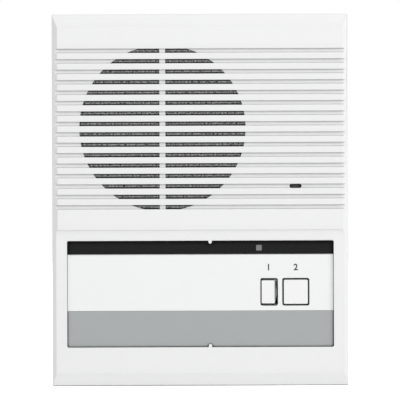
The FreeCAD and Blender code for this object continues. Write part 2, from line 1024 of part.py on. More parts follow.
def rear_case():
    body = part_body("rear_moulding")
    pad(
        body,
        "rear_block",
        "Y",
        parting,
        back,
        lambda k: rectangle(k, -half_width, half_width, 0.0, s.unit_height),
    )

    def back_edge(edge):
        middle = edge.CenterOfMass
        return near(middle.y, back) or along(edge, Y_AXIS)

    round_edges(body, "rear_edges", s.edge_radius, back_edge)
    lip = s.lip_wall + s.fit_gap
    pad(
        body,
        "lip",
        "Y",
        parting - s.lip_depth,
        parting,
        lambda k: rectangle(k, -half_width + lip, half_width - lip, lip, s.unit_height - lip),
    )
    pocket(
        body,
        "rear_hollow",
        "Y",
        parting - s.lip_depth - over,
        back_inner,
        lambda k: rectangle(k, -inner_half, inner_half, inner_bottom, inner_top),
    )
    rear_hooks(body)
    rear_lug(body)
    rear_fixings(body)
    keep("rear_case", body)


def rear_hooks(body):
    """Two arms at the top that reach under the ledges of the front cover."""
    arm_top = inner_top - s.ledge_drop - s.fit_gap
    arm_bottom = arm_top - s.hook_sheet
    barb_back = ledge_front() - s.fit_gap

    def draw_arm(sketch):
        corners = [
            (barb_back - s.hook_barb, arm_bottom),
            (back_inner + over, arm_bottom),
            (back_inner + over, inner_top + over),
            (parting - s.lip_depth, inner_top + over),
            (parting - s.lip_depth, arm_top),
            (barb_back, arm_top),
            (barb_back, arm_top + s.hook_barb),
            (barb_back - s.hook_barb * 0.4, arm_top + s.hook_barb),
        ]
        outline(sketch, corners)

    for side, name in ((-1, "left"), (1, "right")):
        centre = hook_across * side
        pad(body, f"{name}_hook", "X", centre - s.hook_width / 2, centre + s.hook_width / 2, draw_arm)


def rear_lug(body):
    """The block in the bottom that takes the cover screw."""
    bottom = inner_bottom + s.fit_gap
    half = s.lug_width / 2

    def draw_lug(sketch):
        corners = [
            (parting - s.lug_reach, bottom),
            (parting, bottom),
            (parting, inner_bottom - over),
            (back_inner + over, inner_bottom - over),
            (back_inner + over, bottom + s.lug_height),
            (parting - s.lug_reach, bottom + s.lug_height),
        ]
        outline(sketch, corners)

    pad(body, "screw_lug", "X", -half, half, draw_lug)
    bore = s.cover_screw_radius + s.thread_gap
    pocket(
        body,
        "lug_bore",
        "Z",
        bottom - over,
        screw_seat() + s.cover_screw_length + s.fit_gap,
        sided([(0.0, cover_screw_depth())], clearing(bore, 12), 12),
    )


def rear_fixings(body):
    """Board posts, the two wall slots and the cable entry."""
    post = s.post_radius + s.fit_gap * 2
    pad(body, "main_posts", "Y", main_board_back, back_inner + s.fit_gap, sided(main_posts(), post, 12))
    bore = clearing(s.self_tapper_radius + s.thread_gap)
    end = back - s.back_wall / 2
    pocket(body, "main_post_bores", "Y", main_board_back - over, end, sided(main_posts(), bore))

    def draw_slots(sketch):
        for side in (-1, 1):
            level = wall_slot_level + s.wall_slot_spacing / 2 * side
            slot(sketch, 0.0, level, s.wall_slot_length, s.wall_slot_width, upright=True)

    pocket(body, "wall_slots", "Y", back_inner - over, back + over, draw_slots)
    pocket(
        body,
        "cable_entry",
        "Y",
        back_inner - over,
        back + over,
        lambda k: centred(k, 0.0, wall_slot_level, s.cable_entry_width, s.cable_entry_height),
    )


def cover_screw():
    master = screw(
        "cover_screw_master",
        s.cover_screw_radius,
        s.cover_screw_length,
        s.cover_screw_head,
        s.pan_head_height,
    )
    group("cover_screw", master, [(0.0, cover_screw_depth(), screw_seat(), FACING_DOWN)])


# ------------------------------------------------------------------------------------------ the panel


def panel_plate():
    """The white plate: sunk along the top and bottom for the two strips that lie on it."""
    gap = s.fit_gap
    left = -panel_half + gap
    right = panel_half - gap
    bottom = s.panel_bottom + gap
    top = panel_top - gap
    body = part_body("panel_plate_body")
    pad(body, "plate_sheet", "Y", sheet_front, tray_front, lambda k: rectangle(k, left, right, bottom, top))
    pad(
        body,
        "plate_raised",
        "Y",
        panel_front,
        sheet_front,
        lambda k: rectangle(k, left, right, s.panel_bottom + s.name_height, panel_top - s.window_height),
    )
    hole = s.lamp_side + s.lamp_gap * 2

    def draw_openings(sketch):
        centred(sketch, call_across, keys_level, s.call_opening, s.key_opening_height)
        centred(sketch, privacy_across, keys_level, s.privacy_opening, s.key_opening_height)
        centred(sketch, lamp_across, lamp_level, hole, hole)

    pocket(body, "plate_openings", "Y", panel_front - over, tray_front + over, draw_openings)

    def opening_corner(edge):
        middle = edge.CenterOfMass
        at_end = near(abs(middle.x), right)
        beside_lamp = near(abs(middle.z - value_of(lamp_level)), hole / 2)
        return along(edge, Y_AXIS) and not at_end and not beside_lamp

    round_edges(body, "opening_corners", s.key_corner, opening_corner)
    round_panel_ends(body, "plate_corners", right, (bottom, top))
    keep("panel_plate", body)


def round_panel_ends(body, name, end, levels):
    """Rounds the outer corners of a panel piece to clear the tray's."""

    def outer_corner(edge):
        middle = edge.CenterOfMass
        at_corner = any(near(middle.z, level) for level in levels)
        return along(edge, Y_AXIS) and near(abs(middle.x), end) and at_corner

    round_edges(body, name, s.panel_corner, outer_corner)


def panel_strips():
    gap = s.fit_gap
    half = panel_half - gap
    hole = s.lamp_side + s.lamp_gap * 2
    low = panel_top - s.window_height + s.strip_gap
    window = part_body("window_strip_body")

    def draw_window(sketch):
        rectangle(sketch, -half, half, low, panel_top - gap)
        centred(sketch, lamp_across, lamp_level, hole, hole)

    pad(window, "window_sheet", "Y", panel_front, sheet_front, draw_window)
    round_panel_ends(window, "window_corners", half, [panel_top - gap])
    keep("window_strip", window)
    high = s.panel_bottom + s.name_height - gap / 2
    name = part_body("name_strip_body")
    pad(
        name,
        "name_sheet",
        "Y",
        panel_front,
        sheet_front,
        lambda k: rectangle(k, -half, half, s.panel_bottom + gap, high),
    )
    round_panel_ends(name, "name_corners", half, [s.panel_bottom + gap])
    keep("name_strip", name)


# ------------------------------------------------------------------------------------------- the keys


def key_front():
    return panel_front - s.key_proud


def flange_front():
    return tray_back + s.flange_gap


def key_stem(body, name, across, width, height):
    """The hollow behind a key's cap, with the socket for the plunger in it."""
    inner = key_front() + s.key_top
    flange_rear = flange_front() + s.flange_sheet
    pocket(
        body,
        f"{name}_hollow",
        "Y",
        inner,
        flange_rear + over,
        lambda k: centred(k, across, keys_level, width - s.key_wall * 2, height - s.key_wall * 2),
    )
    socket_end = inner + s.plunger_grip + s.key_wall
    socket = [(across, keys_level)]
    pad(
        body,
        f"{name}_socket",
        "Y",
        inner - s.fit_gap,
        socket_end,
        sided(socket, clearing(s.plunger_radius + s.socket_wall, 12), 12),
    )
    pocket(
        body,
        f"{name}_socket_bore",
        "Y",
        plunger_front(),
        socket_end + over,
        sided(socket, clearing(s.plunger_radius + s.thread_gap, 12), 12),
    )


def plunger_front():
    return key_front() + s.key_top + s.key_wall


def round_cap(body, name):
    """Rounds the corners of a cap, ahead of its flange."""

    def cap_corner(edge):
        middle = edge.CenterOfMass
        return along(edge, Y_AXIS) and middle.y < value_of(flange_front())

    round_edges(body, f"{name}_corners", s.cap_corner, cap_corner)


def call_button():
    body = part_body("call_button_body")
    reach = call_across - collar_middle() - s.collar_wall / 2 - s.fit_gap
    pad(
        body,
        "call_cap",
        "Y",
        key_front(),
        flange_front(),
        lambda k: centred(k, call_across, keys_level, s.call_cap, s.call_cap_height),
    )
    round_cap(body, "call_cap")
    pad(
        body,
        "call_flange",
        "Y",
        flange_front(),
        flange_front() + s.flange_sheet,
        lambda k: centred(k, call_across, keys_level, reach * 2, flange_half() * 2),
    )
    key_stem(body, "call", call_across, s.call_cap, s.call_cap_height)
    keep("call_button", body)


def privacy_button():
    """The narrow key: its cap stands left of the middle, with a lower wing on each side."""
    body = part_body("privacy_button_body")
    reach = collar_middle() - privacy_across - s.collar_wall / 2 - s.fit_gap
    cap_across = privacy_across - s.privacy_shift
    half_height = s.privacy_cap_height / 2
    pad(
        body,
        "privacy_cap",
        "Y",
        key_front(),
        flange_front(),
        lambda k: centred(k, cap_across, keys_level, s.privacy_cap, s.privacy_cap_height),
    )
    round_cap(body, "privacy_cap")
    wing_left = privacy_across - s.privacy_opening / 2 + s.fit_gap
    wing_right = privacy_across + s.privacy_opening / 2 - s.fit_gap
    wing_foot = keys_level - s.key_opening_height / 2 + s.fit_gap
    cap_right = cap_across + s.privacy_cap / 2

    def draw_wings(sketch):
        corners = [
            (wing_left, keys_level - half_height),
            (cap_right, keys_level - half_height),
            (cap_right, wing_foot),
            (wing_right, wing_foot),
            (wing_right, keys_level),
            (cap_right + s.fit_gap, keys_level + half_height),
            (wing_left, keys_level + half_height),
        ]
        outline(sketch, corners)

    pad(body, "privacy_wings", "Y", key_front() + s.wing_sink, flange_front(), draw_wings)
    pad(
        body,
        "privacy_flange",
        "Y",
        flange_front(),
        flange_front() + s.flange_sheet,
        lambda k: centred(k, privacy_across, keys_level, reach * 2, flange_half() * 2),
    )
    key_stem(body, "privacy", cap_across, s.privacy_cap, s.privacy_cap_height)
    keep("privacy_button", body)


def key_places():
    """Each key by name, with how far across its plunger stands."""
    return (("call", call_across), ("privacy", privacy_across - s.privacy_shift))


def switches():
    """A switch body and a plunger behind each key."""
    for name, across in key_places():
        body = part_body(f"{name}_switch_body")
        pad(
            body,
            f"{name}_switch_case",
            "Y",
            switch_front,
            key_board_front,
            lambda k: centred(k, across, keys_level, s.switch_side, s.switch_side),
        )
        pad(
            body,
            f"{name}_switch_pins",
            "Y",
            key_board_front - s.fit_gap,
            key_board_back + s.pin_stub,
            sided(pin_places(across), s.pin_radius, 4),
        )
        pocket(
            body,
            f"{name}_switch_bore",
            "Y",
            switch_front - over,
            key_board_front - s.switch_floor,
            sided([(across, keys_level)], clearing(s.plunger_radius + s.thread_gap, 12), 12),
        )
        keep(f"{name}_switch", body)
        plunger_end = switch_front + s.plunger_in_switch
        plunger = ring(f"{name}_plunger", 0.0, s.plunger_radius, plunger_front(), plunger_end, 12)
        move(plunger, across, 0.0, keys_level)
        keep(f"{name}_plunger", plunger)


def pin_places(across):
    spread = s.pin_spread
    return [(across + spread * i, keys_level + spread * j) for i in (-1, 1) for j in (-1, 1)]


def coil(front, rear):
    """A coil spring about the Y axis, its wire and its turns in short straight steps."""
    steps_per_turn = 8
    wire_sides = 4
    steps = int(value_of(s.spring_turns) * steps_per_turn)
    radius = value_of(s.spring_radius)
    wire = value_of(s.spring_wire) / 2
    start = value_of(front) + wire
    rise = value_of(rear) - wire - start
    sections = []
    for step in range(steps + 1):
        turn = math.tau * step / steps_per_turn
        outward = FreeCAD.Vector(math.cos(turn), 0, math.sin(turn))
        centre = outward * radius + Y_AXIS * (start + rise * step / steps)
        points = []
        for side in range(wire_sides + 1):
            angle = math.tau * side / wire_sides
            points.append(centre + outward * (wire * math.cos(angle)) + Y_AXIS * (wire * math.sin(angle)))
        sections.append(Part.makePolygon(points))
    return Part.makeLoft(sections, True, True)


def key_springs():
    """A coil spring round each plunger, from the switch to the cap."""
    for name, across in key_places():
        spring = document.addObject("Part::Feature", f"{name}_spring_coil")
        spring.Shape = coil(key_front() + s.key_top, switch_front)
        move(spring, across, 0.0, keys_level)
        keep(f"{name}_spring", spring)


# ------------------------------------------------------------------------------------ board and lamp


def key_board():
    body = box_body(
        "key_board",
        key_board_left,
        key_board_right,
        key_board_front,
        key_board_back,
        key_board_bottom,
        key_board_top,
    )
    hole = s.self_tapper_radius + s.fit_gap
    start = key_board_front - over
    end = key_board_back + over
    pocket(body, "key_board_holes", "Y", start, end, sided(key_posts(), hole))
    pins = [place for _, across in key_places() for place in pin_places(across)]
    pins += led_leads()
    pin_hole = s.pin_radius + s.fit_gap / 2
    pocket(body, "key_board_pin_holes", "Y", start, end, sided(pins, pin_hole, 4))
    keep("key_board", body)


def led_leads():
    return [(lamp_across - s.leg_pitch / 2, lamp_level), (lamp_across + s.leg_pitch / 2, lamp_level)]


def key_board_screws():
    length = key_board_back - tray_back - s.screw_end_gap
    master = screw(
        "key_board_screw", s.self_tapper_radius, length, s.pan_head_radius, s.pan_head_height
    )
    places = [(x, key_board_back, z, FreeCAD.Rotation()) for x, z in key_posts()]
    group("key_board_screws", master, places)


def indicator_lamp():
    """The lamp on the key board and the square guide that brings its light to the window."""
    front = key_board_front - s.led_height
    dome = s.led_radius
    edge = s.led_edge
    rim_front = key_board_front - s.led_rim * 2
    lens = turned(
        "led_lens",
        [
            (0.0, front),
            (dome - edge, front),
            (dome, front + edge),
            (dome, rim_front),
            (dome + s.led_rim, rim_front),
            (dome + s.led_rim, key_board_front),
            (0.0, key_board_front),
        ],
        12,
    )
    move(lens, lamp_across, 0.0, lamp_level)
    legs = part_body("led_legs_body")
    leg_end = key_board_back + s.pin_stub
    pad(legs, "led_legs", "Y", key_board_front - s.fit_gap, leg_end, sided(led_leads(), s.lead_radius, 4))
    lamp = document.addObject("Part::Fuse", "indicator_lamp")
    lamp.Base = lens
    lamp.Tool = legs
    keep("indicator_led", lamp)

    guide = part_body("lamp_guide_body")
    pad(
        guide,
        "guide_bar",
        "Y",
        panel_front + s.lamp_gap,
        front - s.lamp_end_gap,
        lambda k: centred(k, lamp_across, lamp_level, s.lamp_side, s.lamp_side),
    )
    rim = s.lamp_side + s.lamp_rim * 2
    pad(
        guide,
        "guide_rim",
        "Y",
        tray_back,
        tray_back + s.lamp_rim,
        lambda k: centred(k, lamp_across, lamp_level, rim, rim),
    )
    keep("lamp_guide", guide)


def main_board():
    body = box_body(
        "main_board",
        main_board_left,
        main_board_right,
        main_board_front,
        main_board_back,
        main_board_bottom,
        main_board_top,
    )
    hole = s.self_tapper_radius + s.fit_gap
    pocket(
        body,
        "main_board_holes",
        "Y",
        main_board_front - over,
        main_board_back + over,
        sided(main_posts(), hole),
    )
    keep("main_board", body)


def main_board_screws():
    length = back_inner - main_board_front
    master = screw("main_board_screw", s.self_tapper_radius, length, s.pan_head_radius, s.pan_head_height)
    places = [(x, main_board_front, z, FACING_FRONT) for x, z in main_posts()]
    group("main_board_screws", master, places)


def transformer():
    """An E-I core with its winding round the middle leg."""
    gap = s.winding_gap
    across = main_board_right - s.transformer_side
    level = main_board_top - s.transformer_drop
    window_height = s.core_height - s.core_yoke * 2
    winding_half = s.core_leg / 2 + s.core_window - gap
    wrap = s.core_window - gap
    core_rear = main_board_front - wrap
    core_front = core_rear - s.core_stack
    window_across = (s.core_leg + s.core_window) / 2
    core = part_body("transformer_core_body")

    def draw_core(sketch):
        centred(sketch, across, level, s.core_width, s.core_height)
        centred(sketch, across - window_across, level, s.core_window, window_height)
        centred(sketch, across + window_across, level, s.core_window, window_height)

    pad(core, "core_stack", "Y", core_front, core_rear, draw_core)
    keep("transformer_core", core)
    winding = part_body("transformer_winding_body")
    middle = (core_front + core_rear) / 2

    def draw_winding(sketch):
        centred(sketch, across, middle, winding_half * 2, s.core_stack + wrap * 2)
        centred(sketch, across, middle, s.core_leg + gap * 2, s.core_stack + gap * 2)

    half = window_height / 2 - gap
    pad(winding, "winding_block", "Z", level - half, level + half, draw_winding)
    keep("transformer_winding", winding)


def capacitors():
    """One tall and two short cans upright on the main board."""

    def can(name, radius, height, across, level):
        edge = s.can_edge
        side = [(radius - edge, -height), (radius, edge - height), (radius, 0.0)]
        piece = turned(name, [(0.0, -height)] + side + [(0.0, 0.0)], 16)
        move(piece, across, main_board_front, level)
        return piece

    tall_across = main_board_right - s.tall_can_side
    tall_level = main_board_bottom + s.tall_can_rise
    across = main_board_right - s.short_can_side
    level = main_board_bottom + s.short_can_rise
    compound = document.addObject("Part::Compound", "capacitor_cans")
    compound.Links = [
        can("tall_can", s.tall_can_radius, s.tall_can_height, tall_across, tall_level),
        can("right_can", s.short_can_radius, s.short_can_height, across, level),
        can("left_can", s.short_can_radius, s.short_can_height, across - s.short_can_pitch, level),
    ]
    keep("capacitors", compound)


def amplifier_chip():
    body = part_body("amplifier_chip_body")
    across = main_board_right - s.chip_side
    level = main_board_bottom + s.chip_rise
    rear = main_board_front - s.chip_stand
    front = rear - s.chip_height
    pad(
        body,
        "chip_block",
        "Y",
        front,
        rear,
        lambda k: centred(k, across, level, s.chip_width, s.chip_length),
    )
    leg_level = (front + rear) / 2
    outer = s.chip_width / 2 + s.leg_reach

    def draw_leg(sketch):
        for side in (-1, 1):
            x = across + outer * side
            reach = (s.leg_reach + s.leg_root) * -side
            corners = [
                (x + reach, leg_level),
                (x + s.leg_sheet * side, leg_level),
                (x + s.leg_sheet * side, main_board_front),
                (x, main_board_front),
                (x, leg_level + s.leg_sheet),
                (x + reach, leg_level + s.leg_sheet),
            ]
            outline(sketch, corners)

    first = level + s.leg_pitch * (s.leg_rows - 1) / 2
    leg = pad(body, "chip_legs", "Z", first - s.leg_width / 2, first + s.leg_width / 2, draw_leg)
    repeat_along(body, "chip_leg_rows", leg, "N_Axis", s.leg_pitch, s.leg_rows)
    keep("amplifier_chip", body)


def resistors():
    """Small resistors in a row, each with its two leads down to the board."""
    half = s.resistor_length / 2
    bulge = half - s.resistor_bulge
    neck = half - s.resistor_neck
    reach = half + s.leg_reach
    axis = -s.resistor_radius - s.fit_gap
    waist = s.resistor_radius - s.fit_gap
    barrel = turned(
        "resistor_barrel",
        [
            (0.0, -half),
            (s.resistor_radius, -bulge),
            (waist, -neck),
            (waist, neck),
            (s.resistor_radius, bulge),
            (0.0, half),
        ],
        6,
    )
    barrel.Placement = FreeCAD.Placement(FreeCAD.Vector(), FreeCAD.Rotation(X_AXIS, 90))
    move(barrel, 0.0, axis, 0.0)
    wires = part_body("resistor_wires")
    thick = s.lead_radius
    pad(wires, "resistor_lead", "Z", -reach, reach, sided([(0.0, axis)], thick, 4))
    ends = [(0.0, thick - reach), (0.0, reach - thick)]
    pad(wires, "resistor_legs", "Y", axis, 0.0, sided(ends, thick, 4))
    master = document.addObject("Part::Fuse", "resistor")
    master.Base = barrel
    master.Tool = wires
    level = main_board_bottom + s.resistor_rise
    places = []
    for number in range(int(value_of(s.resistor_count))):
        across = main_board_left + s.resistor_side + s.resistor_pitch * number
        places.append((across, main_board_front, level, FreeCAD.Rotation()))
    group("resistors", master, places)


def terminal_block():
    """A row of screw terminals beside the cable entry."""
    body = part_body("terminal_block_body")
    front = main_board_front - s.block_height
    half = s.block_pitch * s.block_ways / 2
    pad(
        body,
        "block",
        "Y",
        front,
        main_board_front,
        lambda k: centred(k, block_across, wall_slot_level, s.block_width, half * 2),
    )
    levels = way_levels()
    pocket(
        body,
        "wells",
        "Y",
        front - over,
        front + s.well_depth,
        sided([(block_across, level) for level in levels], clearing(s.well_radius)),
    )
    bore = clearing(s.self_tapper_radius + s.thread_gap)
    pocket(
        body,
        "thread_bores",
        "Y",
        front,
        front + s.well_depth + terminal_screw_length() + s.fit_gap,
        sided([(block_across, level) for level in levels], bore),
    )
    wire_level = main_board_front - s.wire_hole_radius - s.fit_gap * 3
    left = block_across - s.block_width / 2
    pocket(
        body,
        "wire_holes",
        "X",
        left - over,
        left + s.wire_hole_depth,
        sided([(wire_level, level) for level in levels], s.wire_hole_radius, 4),
    )
    keep("terminal_block", body)


def terminal_screw_length():
    return s.block_height - s.well_depth - s.wire_hole_radius * 2 - s.fit_gap


def way_levels():
    ways = int(value_of(s.block_ways))
    return [wall_slot_level + s.block_pitch * (number - (ways - 1) / 2) for number in range(ways)]


def terminal_screws():
    head = s.well_radius - s.fit_gap / 2
    master = screw(
        "terminal_screw", s.self_tapper_radius, terminal_screw_length(), head, s.pan_head_height
    )
    seat = main_board_front - s.block_height + s.well_depth
    places = [(block_across, seat, level, FACING_FRONT) for level in way_levels()]
    group("terminal_screws", master, places)


def board_ribbon():
    """The flat cable from the key board to the main board, with a header at each end."""
    half_height = s.header_height / 2
    left = header_across - s.header_width / 2
    right = header_across + s.header_width / 2
    key_end = key_board_back + s.header_depth
    main_end = main_board_front - s.header_depth
    headers = part_body("ribbon_headers_body")

    def header(name, front, rear, level):
        pad(
            headers,
            name,
            "Y",
            front,
            rear,
            lambda k: rectangle(k, left, right, level - half_height, level + half_height),
        )

    header("key_header", key_board_back, key_end, key_header_level)
    header("main_header", main_end, main_board_front, main_header_level)
    keep("ribbon_headers", headers)
    ribbon = part_body("board_ribbon_body")
    half = s.ribbon_sheet / 2
    bend = s.ribbon_bend
    high = key_header_level
    low = main_header_level
    middle = (key_end + main_end) / 2

    def draw_ribbon(sketch):
        corners = [
            (key_end, high + half),
            (key_end, high - half),
            (middle - bend, high - half),
            (middle - half, high - bend, half - bend),
            (middle - half, low + bend),
            (middle + bend, low - half, bend + half),
            (main_end, low - half),
            (main_end, low + half),
            (middle + bend, low + half),
            (middle + half, low + bend, half - bend),
            (middle + half, high - bend),
            (middle - bend, high + half, bend + half),
        ]
        outline(sketch, corners)

    start = header_across - s.ribbon_width / 2
    pad(ribbon, "ribbon", "X", start, start + s.ribbon_width, draw_ribbon)
    keep("board_ribbon", ribbon)


# ------------------------------------------------------------------------------ sound in and sound out


def microphone():
    felt_front = face_inner + s.boot_front
    capsule_front = felt_front + s.felt_sheet
    boot_outer = s.capsule_radius + s.boot_wall
    bore = s.capsule_radius + s.thread_gap
    boot = turned(
        "mic_boot",
        [
            (s.mic_port_radius, face_inner),
            (boot_outer, face_inner),
            (boot_outer, face_inner + s.boot_height),
            (bore, face_inner + s.boot_height),
            (bore, felt_front),
            (s.mic_port_radius, felt_front),
        ],
    )
    move(boot, mic_across, 0.0, mic_level)
    keep("mic_boot", boot)
    felt = ring("mic_felt", 0.0, s.capsule_radius - s.felt_sheet, felt_front, capsule_front)
    move(felt, mic_across, 0.0, mic_level)
    keep("mic_felt", felt)
    rear = capsule_front + s.capsule_height
    capsule = turned(
        "mic_capsule",
        [
            (0.0, capsule_front),
            (s.capsule_radius, capsule_front),
            (s.capsule_radius, rear),
            (s.capsule_radius - s.cup_wall, rear),
            (s.capsule_radius - s.cup_wall, rear - s.fit_gap),
            (0.0, rear - s.fit_gap),
        ],
    )
    move(capsule, mic_across, 0.0, mic_level)
    keep("mic_capsule", capsule)


def speaker_piece(name, body):
    """Puts a piece that is turned about the loudspeaker's own axis in its place."""
    move(body, speaker_across, speaker_front, speaker_level)
    return keep(name, body)


def grille_cloth():
    cloth = ring("grille_cloth", 0.0, s.cloth_radius, face_inner, cloth_back, 36)
    move(cloth, speaker_across, 0.0, speaker_level)
    keep("grille_cloth", cloth)


def speaker_frame():
    """A pressed basket: flange, open cone with windows, ledge for the spider and bottom."""
    sheet = s.basket_sheet
    ledge_inner = s.ledge_radius - s.ledge_width
    bottom = s.basket_depth - sheet
    ledge_back = s.ledge_depth + sheet
    basket = turned(
        "speaker_frame",
        [
            (s.mouth_radius, 0.0),
            (s.flange_radius, 0.0),
            (s.flange_radius, sheet),
            (s.mouth_radius + sheet * 0.5, sheet),
            (s.ledge_radius + sheet * 0.5, ledge_back),
            (ledge_inner + sheet * 0.5, ledge_back),
            (ledge_inner - sheet, s.basket_depth),
            (s.basket_neck, s.basket_depth),
            (s.basket_neck, bottom),
            (ledge_inner - sheet * 1.6, bottom),
            (ledge_inner, s.ledge_depth),
            (s.ledge_radius, s.ledge_depth),
        ],
    )
    bars = part_body("basket_windows")
    half = s.basket_window / 2
    reach = s.flange_radius + over
    front = s.basket_rim
    rear = s.ledge_depth - sheet

    def draw_window(sketch):
        rectangle(sketch, front, rear, -half, half)

    pad(bars, "side_windows", "X", -reach, reach, draw_window)
    pad(
        bars,
        "upright_windows",
        "Z",
        -reach,
        reach,
        lambda k: rectangle(k, -half, half, front, rear),
    )
    frame = document.addObject("Part::Cut", "speaker_frame_pressing")
    frame.Base = basket
    frame.Tool = bars
    speaker_piece("speaker_frame", frame)
    outer = s.flange_radius - sheet / 2
    rear_of_gasket = -s.surround_sheet
    front_of_gasket = rear_of_gasket - s.gasket_sheet
    gasket = ring("speaker_gasket", outer - s.gasket_width, outer, front_of_gasket, rear_of_gasket)
    speaker_piece("speaker_gasket", gasket)


def speaker_surround():
    """The half-round roll between the cone's rim and the frame."""
    sheet = s.surround_sheet
    roll = (s.roll_outer - s.roll_inner) / 2
    middle = (s.roll_outer + s.roll_inner) / 2
    lip_inner = s.roll_inner - s.surround_lip
    lip_outer = s.flange_radius - s.basket_sheet
    outer_side = []
    inner_side = []
    steps = 3
    for step in range(steps + 1):
        angle = math.pi * (1 - step / steps)
        across = math.cos(angle)
        rise = math.sin(angle)
        outer_side.append((middle + roll * across, -sheet - roll * rise))
        inner_side.append((middle + (roll - sheet) * across, -sheet - (roll - sheet) * rise))
    inner_side[0] = (s.roll_inner + sheet, 0.0)
    inner_side[-1] = (s.roll_outer - sheet, 0.0)
    corners = [(lip_inner, 0.0), (lip_inner, -sheet)] + outer_side
    corners += [(lip_outer, -sheet), (lip_outer, 0.0)] + inner_side[::-1]
    body = turned("speaker_surround", corners)
    speaker_piece("speaker_surround", body)


def speaker_cone():
    sheet = s.cone_sheet
    rim = s.roll_inner
    shoulder = rim - s.surround_lip
    neck = s.coil_radius + s.former_sheet + s.thread_gap
    cone = turned(
        "speaker_cone",
        [
            (shoulder, 0.0),
            (rim, 0.0),
            (rim, sheet),
            (shoulder - sheet / 2, sheet),
            (neck, s.cone_depth + sheet),
            (neck, s.cone_depth),
        ],
    )
    speaker_piece("speaker_cone", cone)
    slope = s.cone_depth / (shoulder - neck)
    foot = s.cone_depth - (s.cap_radius - neck) * slope - s.thread_gap * 2
    steps = 3
    shell = []
    for step in range(steps + 1):
        share = step / steps
        shell.append((s.cap_radius * share, foot - s.cap_rise * (1 - share * share)))
    lining = [(radius, depth - sheet) for radius, depth in shell]
    cap = turned("speaker_dust_cap", shell + lining[::-1])
    speaker_piece("speaker_dust_cap", cap)


def voice_coil():
    former = s.coil_radius + s.former_sheet
    wound = former + s.winding_sheet
    start = s.cone_depth - s.cone_sheet
    end = s.basket_depth + s.plate_sheet / 2 + s.winding_length / 2
    coil = turned(
        "voice_coil",
        [
            (s.coil_radius, start),
            (former, start),
            (former, end - s.winding_length),
            (wound, end - s.winding_length),
            (wound, end),
            (s.coil_radius, end),
        ],
    )
    speaker_piece("voice_coil", coil)


def speaker_spider():
    """The corrugated disc that centres the voice coil."""
    sheet = s.surround_sheet
    outer = s.ledge_radius - s.fit_gap
    landing = s.ledge_radius - s.ledge_width
    inner = s.coil_radius + s.former_sheet + s.thread_gap
    base = s.ledge_depth - sheet
    waves = 4
    upper = [(outer, base), (landing, base)]
    lower = [(outer, s.ledge_depth), (landing, s.ledge_depth)]
    for number in range(1, waves):
        radius = landing - (landing - inner) * (number / waves)
        shift = sheet * (1.5 if number % 2 else -1.0)
        upper.append((radius, base - shift))
        lower.append((radius, s.ledge_depth - shift))
    upper.append((inner, base))
    lower.append((inner, s.ledge_depth))
    speaker_piece("speaker_spider", turned("speaker_spider", upper + lower[::-1]))


def speaker_magnet():
    wound = s.coil_radius + s.former_sheet + s.winding_sheet
    plate_front = s.basket_depth
    plate_back = plate_front + s.plate_sheet
    magnet_back = plate_back + s.magnet_height
    plate = ring("speaker_top_plate", wound + s.coil_gap, s.plate_radius, plate_front, plate_back)
    speaker_piece("speaker_top_plate", plate)
    magnet = ring("speaker_magnet", s.magnet_bore, s.magnet_radius, plate_back, magnet_back)
    speaker_piece("speaker_magnet", magnet)
    pole = s.coil_radius - s.coil_gap
    yoke = turned(
        "speaker_yoke",
        [
            (0.0, plate_front),
            (pole, plate_front),
            (pole, magnet_back),
            (s.plate_radius, magnet_back),
            (s.plate_radius, magnet_back + s.plate_sheet),
            (0.0, magnet_back + s.plate_sheet),
        ],
    )
    speaker_piece("speaker_yoke", yoke)


def speaker_fixings():
    """The clips and screws that hold the loudspeaker, and its terminal strip."""
    clip = part_body("speaker_clip")
    inner = s.flange_radius - s.clip_bite
    outer = s.speaker_boss_ring + s.speaker_boss_radius
    half = s.clip_width / 2
    hole = s.self_tapper_radius + s.fit_gap

    def draw_clip(sketch):
        cut = half / 2
        corners = [(inner, -half), (outer - cut, -half), (outer, cut - half), (outer, half - cut)]
        corners += [(outer - cut, half), (inner, half)]
        outline(sketch, corners)
        many_sided(sketch, s.speaker_boss_ring, 0.0, hole, 8)

    pad(clip, "clip_plate", "Y", 0.0, s.clip_sheet, draw_clip)

    turns = [FreeCAD.Rotation(Y_AXIS, 45 + 90 * quarter) for quarter in range(4)]
    places = [(speaker_across, flange_back, speaker_level, turn) for turn in turns]
    group("speaker_clips", clip, places)
    length = flange_back + s.clip_sheet - face_inner - s.fit_gap
    master = screw("speaker_screw", s.self_tapper_radius, length, s.pan_head_radius, s.pan_head_height)
    seat = flange_back + s.clip_sheet
    group("speaker_screws", master, [(x, seat, z, FreeCAD.Rotation()) for x, z in speaker_bosses()])
    strip = part_body("speaker_terminals_body")
    ring_at = s.flange_radius - s.clip_bite
    back_face = s.basket_sheet + s.terminal_height
    pad(
        strip,
        "terminal_strip",
        "Y",
        s.basket_sheet,
        back_face,
        lambda k: rectangle(
            k, -s.terminal_width / 2, s.terminal_width / 2, -ring_at, -ring_at + s.terminal_sheet
        ),
    )
    for side in (-1, 1):
        tag_across = s.terminal_width / 4 * side
        pad(
            strip,
            f"tag_{'left' if side < 0 else 'right'}",
            "Y",
            back_face - s.terminal_sheet * 2,
            back_face + s.terminal_sheet * 2,
            lambda k: centred(
                k, tag_across, -ring_at - s.leg_sheet / 2, s.terminal_sheet * 2, s.leg_sheet
            ),
        )
    speaker_piece("speaker_terminals", strip)


# -------------------------------------------------------------------------------------------- writing


def build():
    front_cover()
    rear_case()
    cover_screw()
    panel_plate()
    panel_strips()
    call_button()
    privacy_button()
    switches()
    key_springs()
    key_board()
    key_board_screws()
    indicator_lamp()
    main_board()
    main_board_screws()
    transformer()
    capacitors()
    amplifier_chip()
    resistors()
    terminal_block()
    terminal_screws()
    board_ribbon()
    microphone()
    grille_cloth()
    speaker_frame()
    speaker_surround()
    speaker_cone()
    voice_coil()
    speaker_spider()
    speaker_magnet()
    speaker_fixings()
    document.recompute()


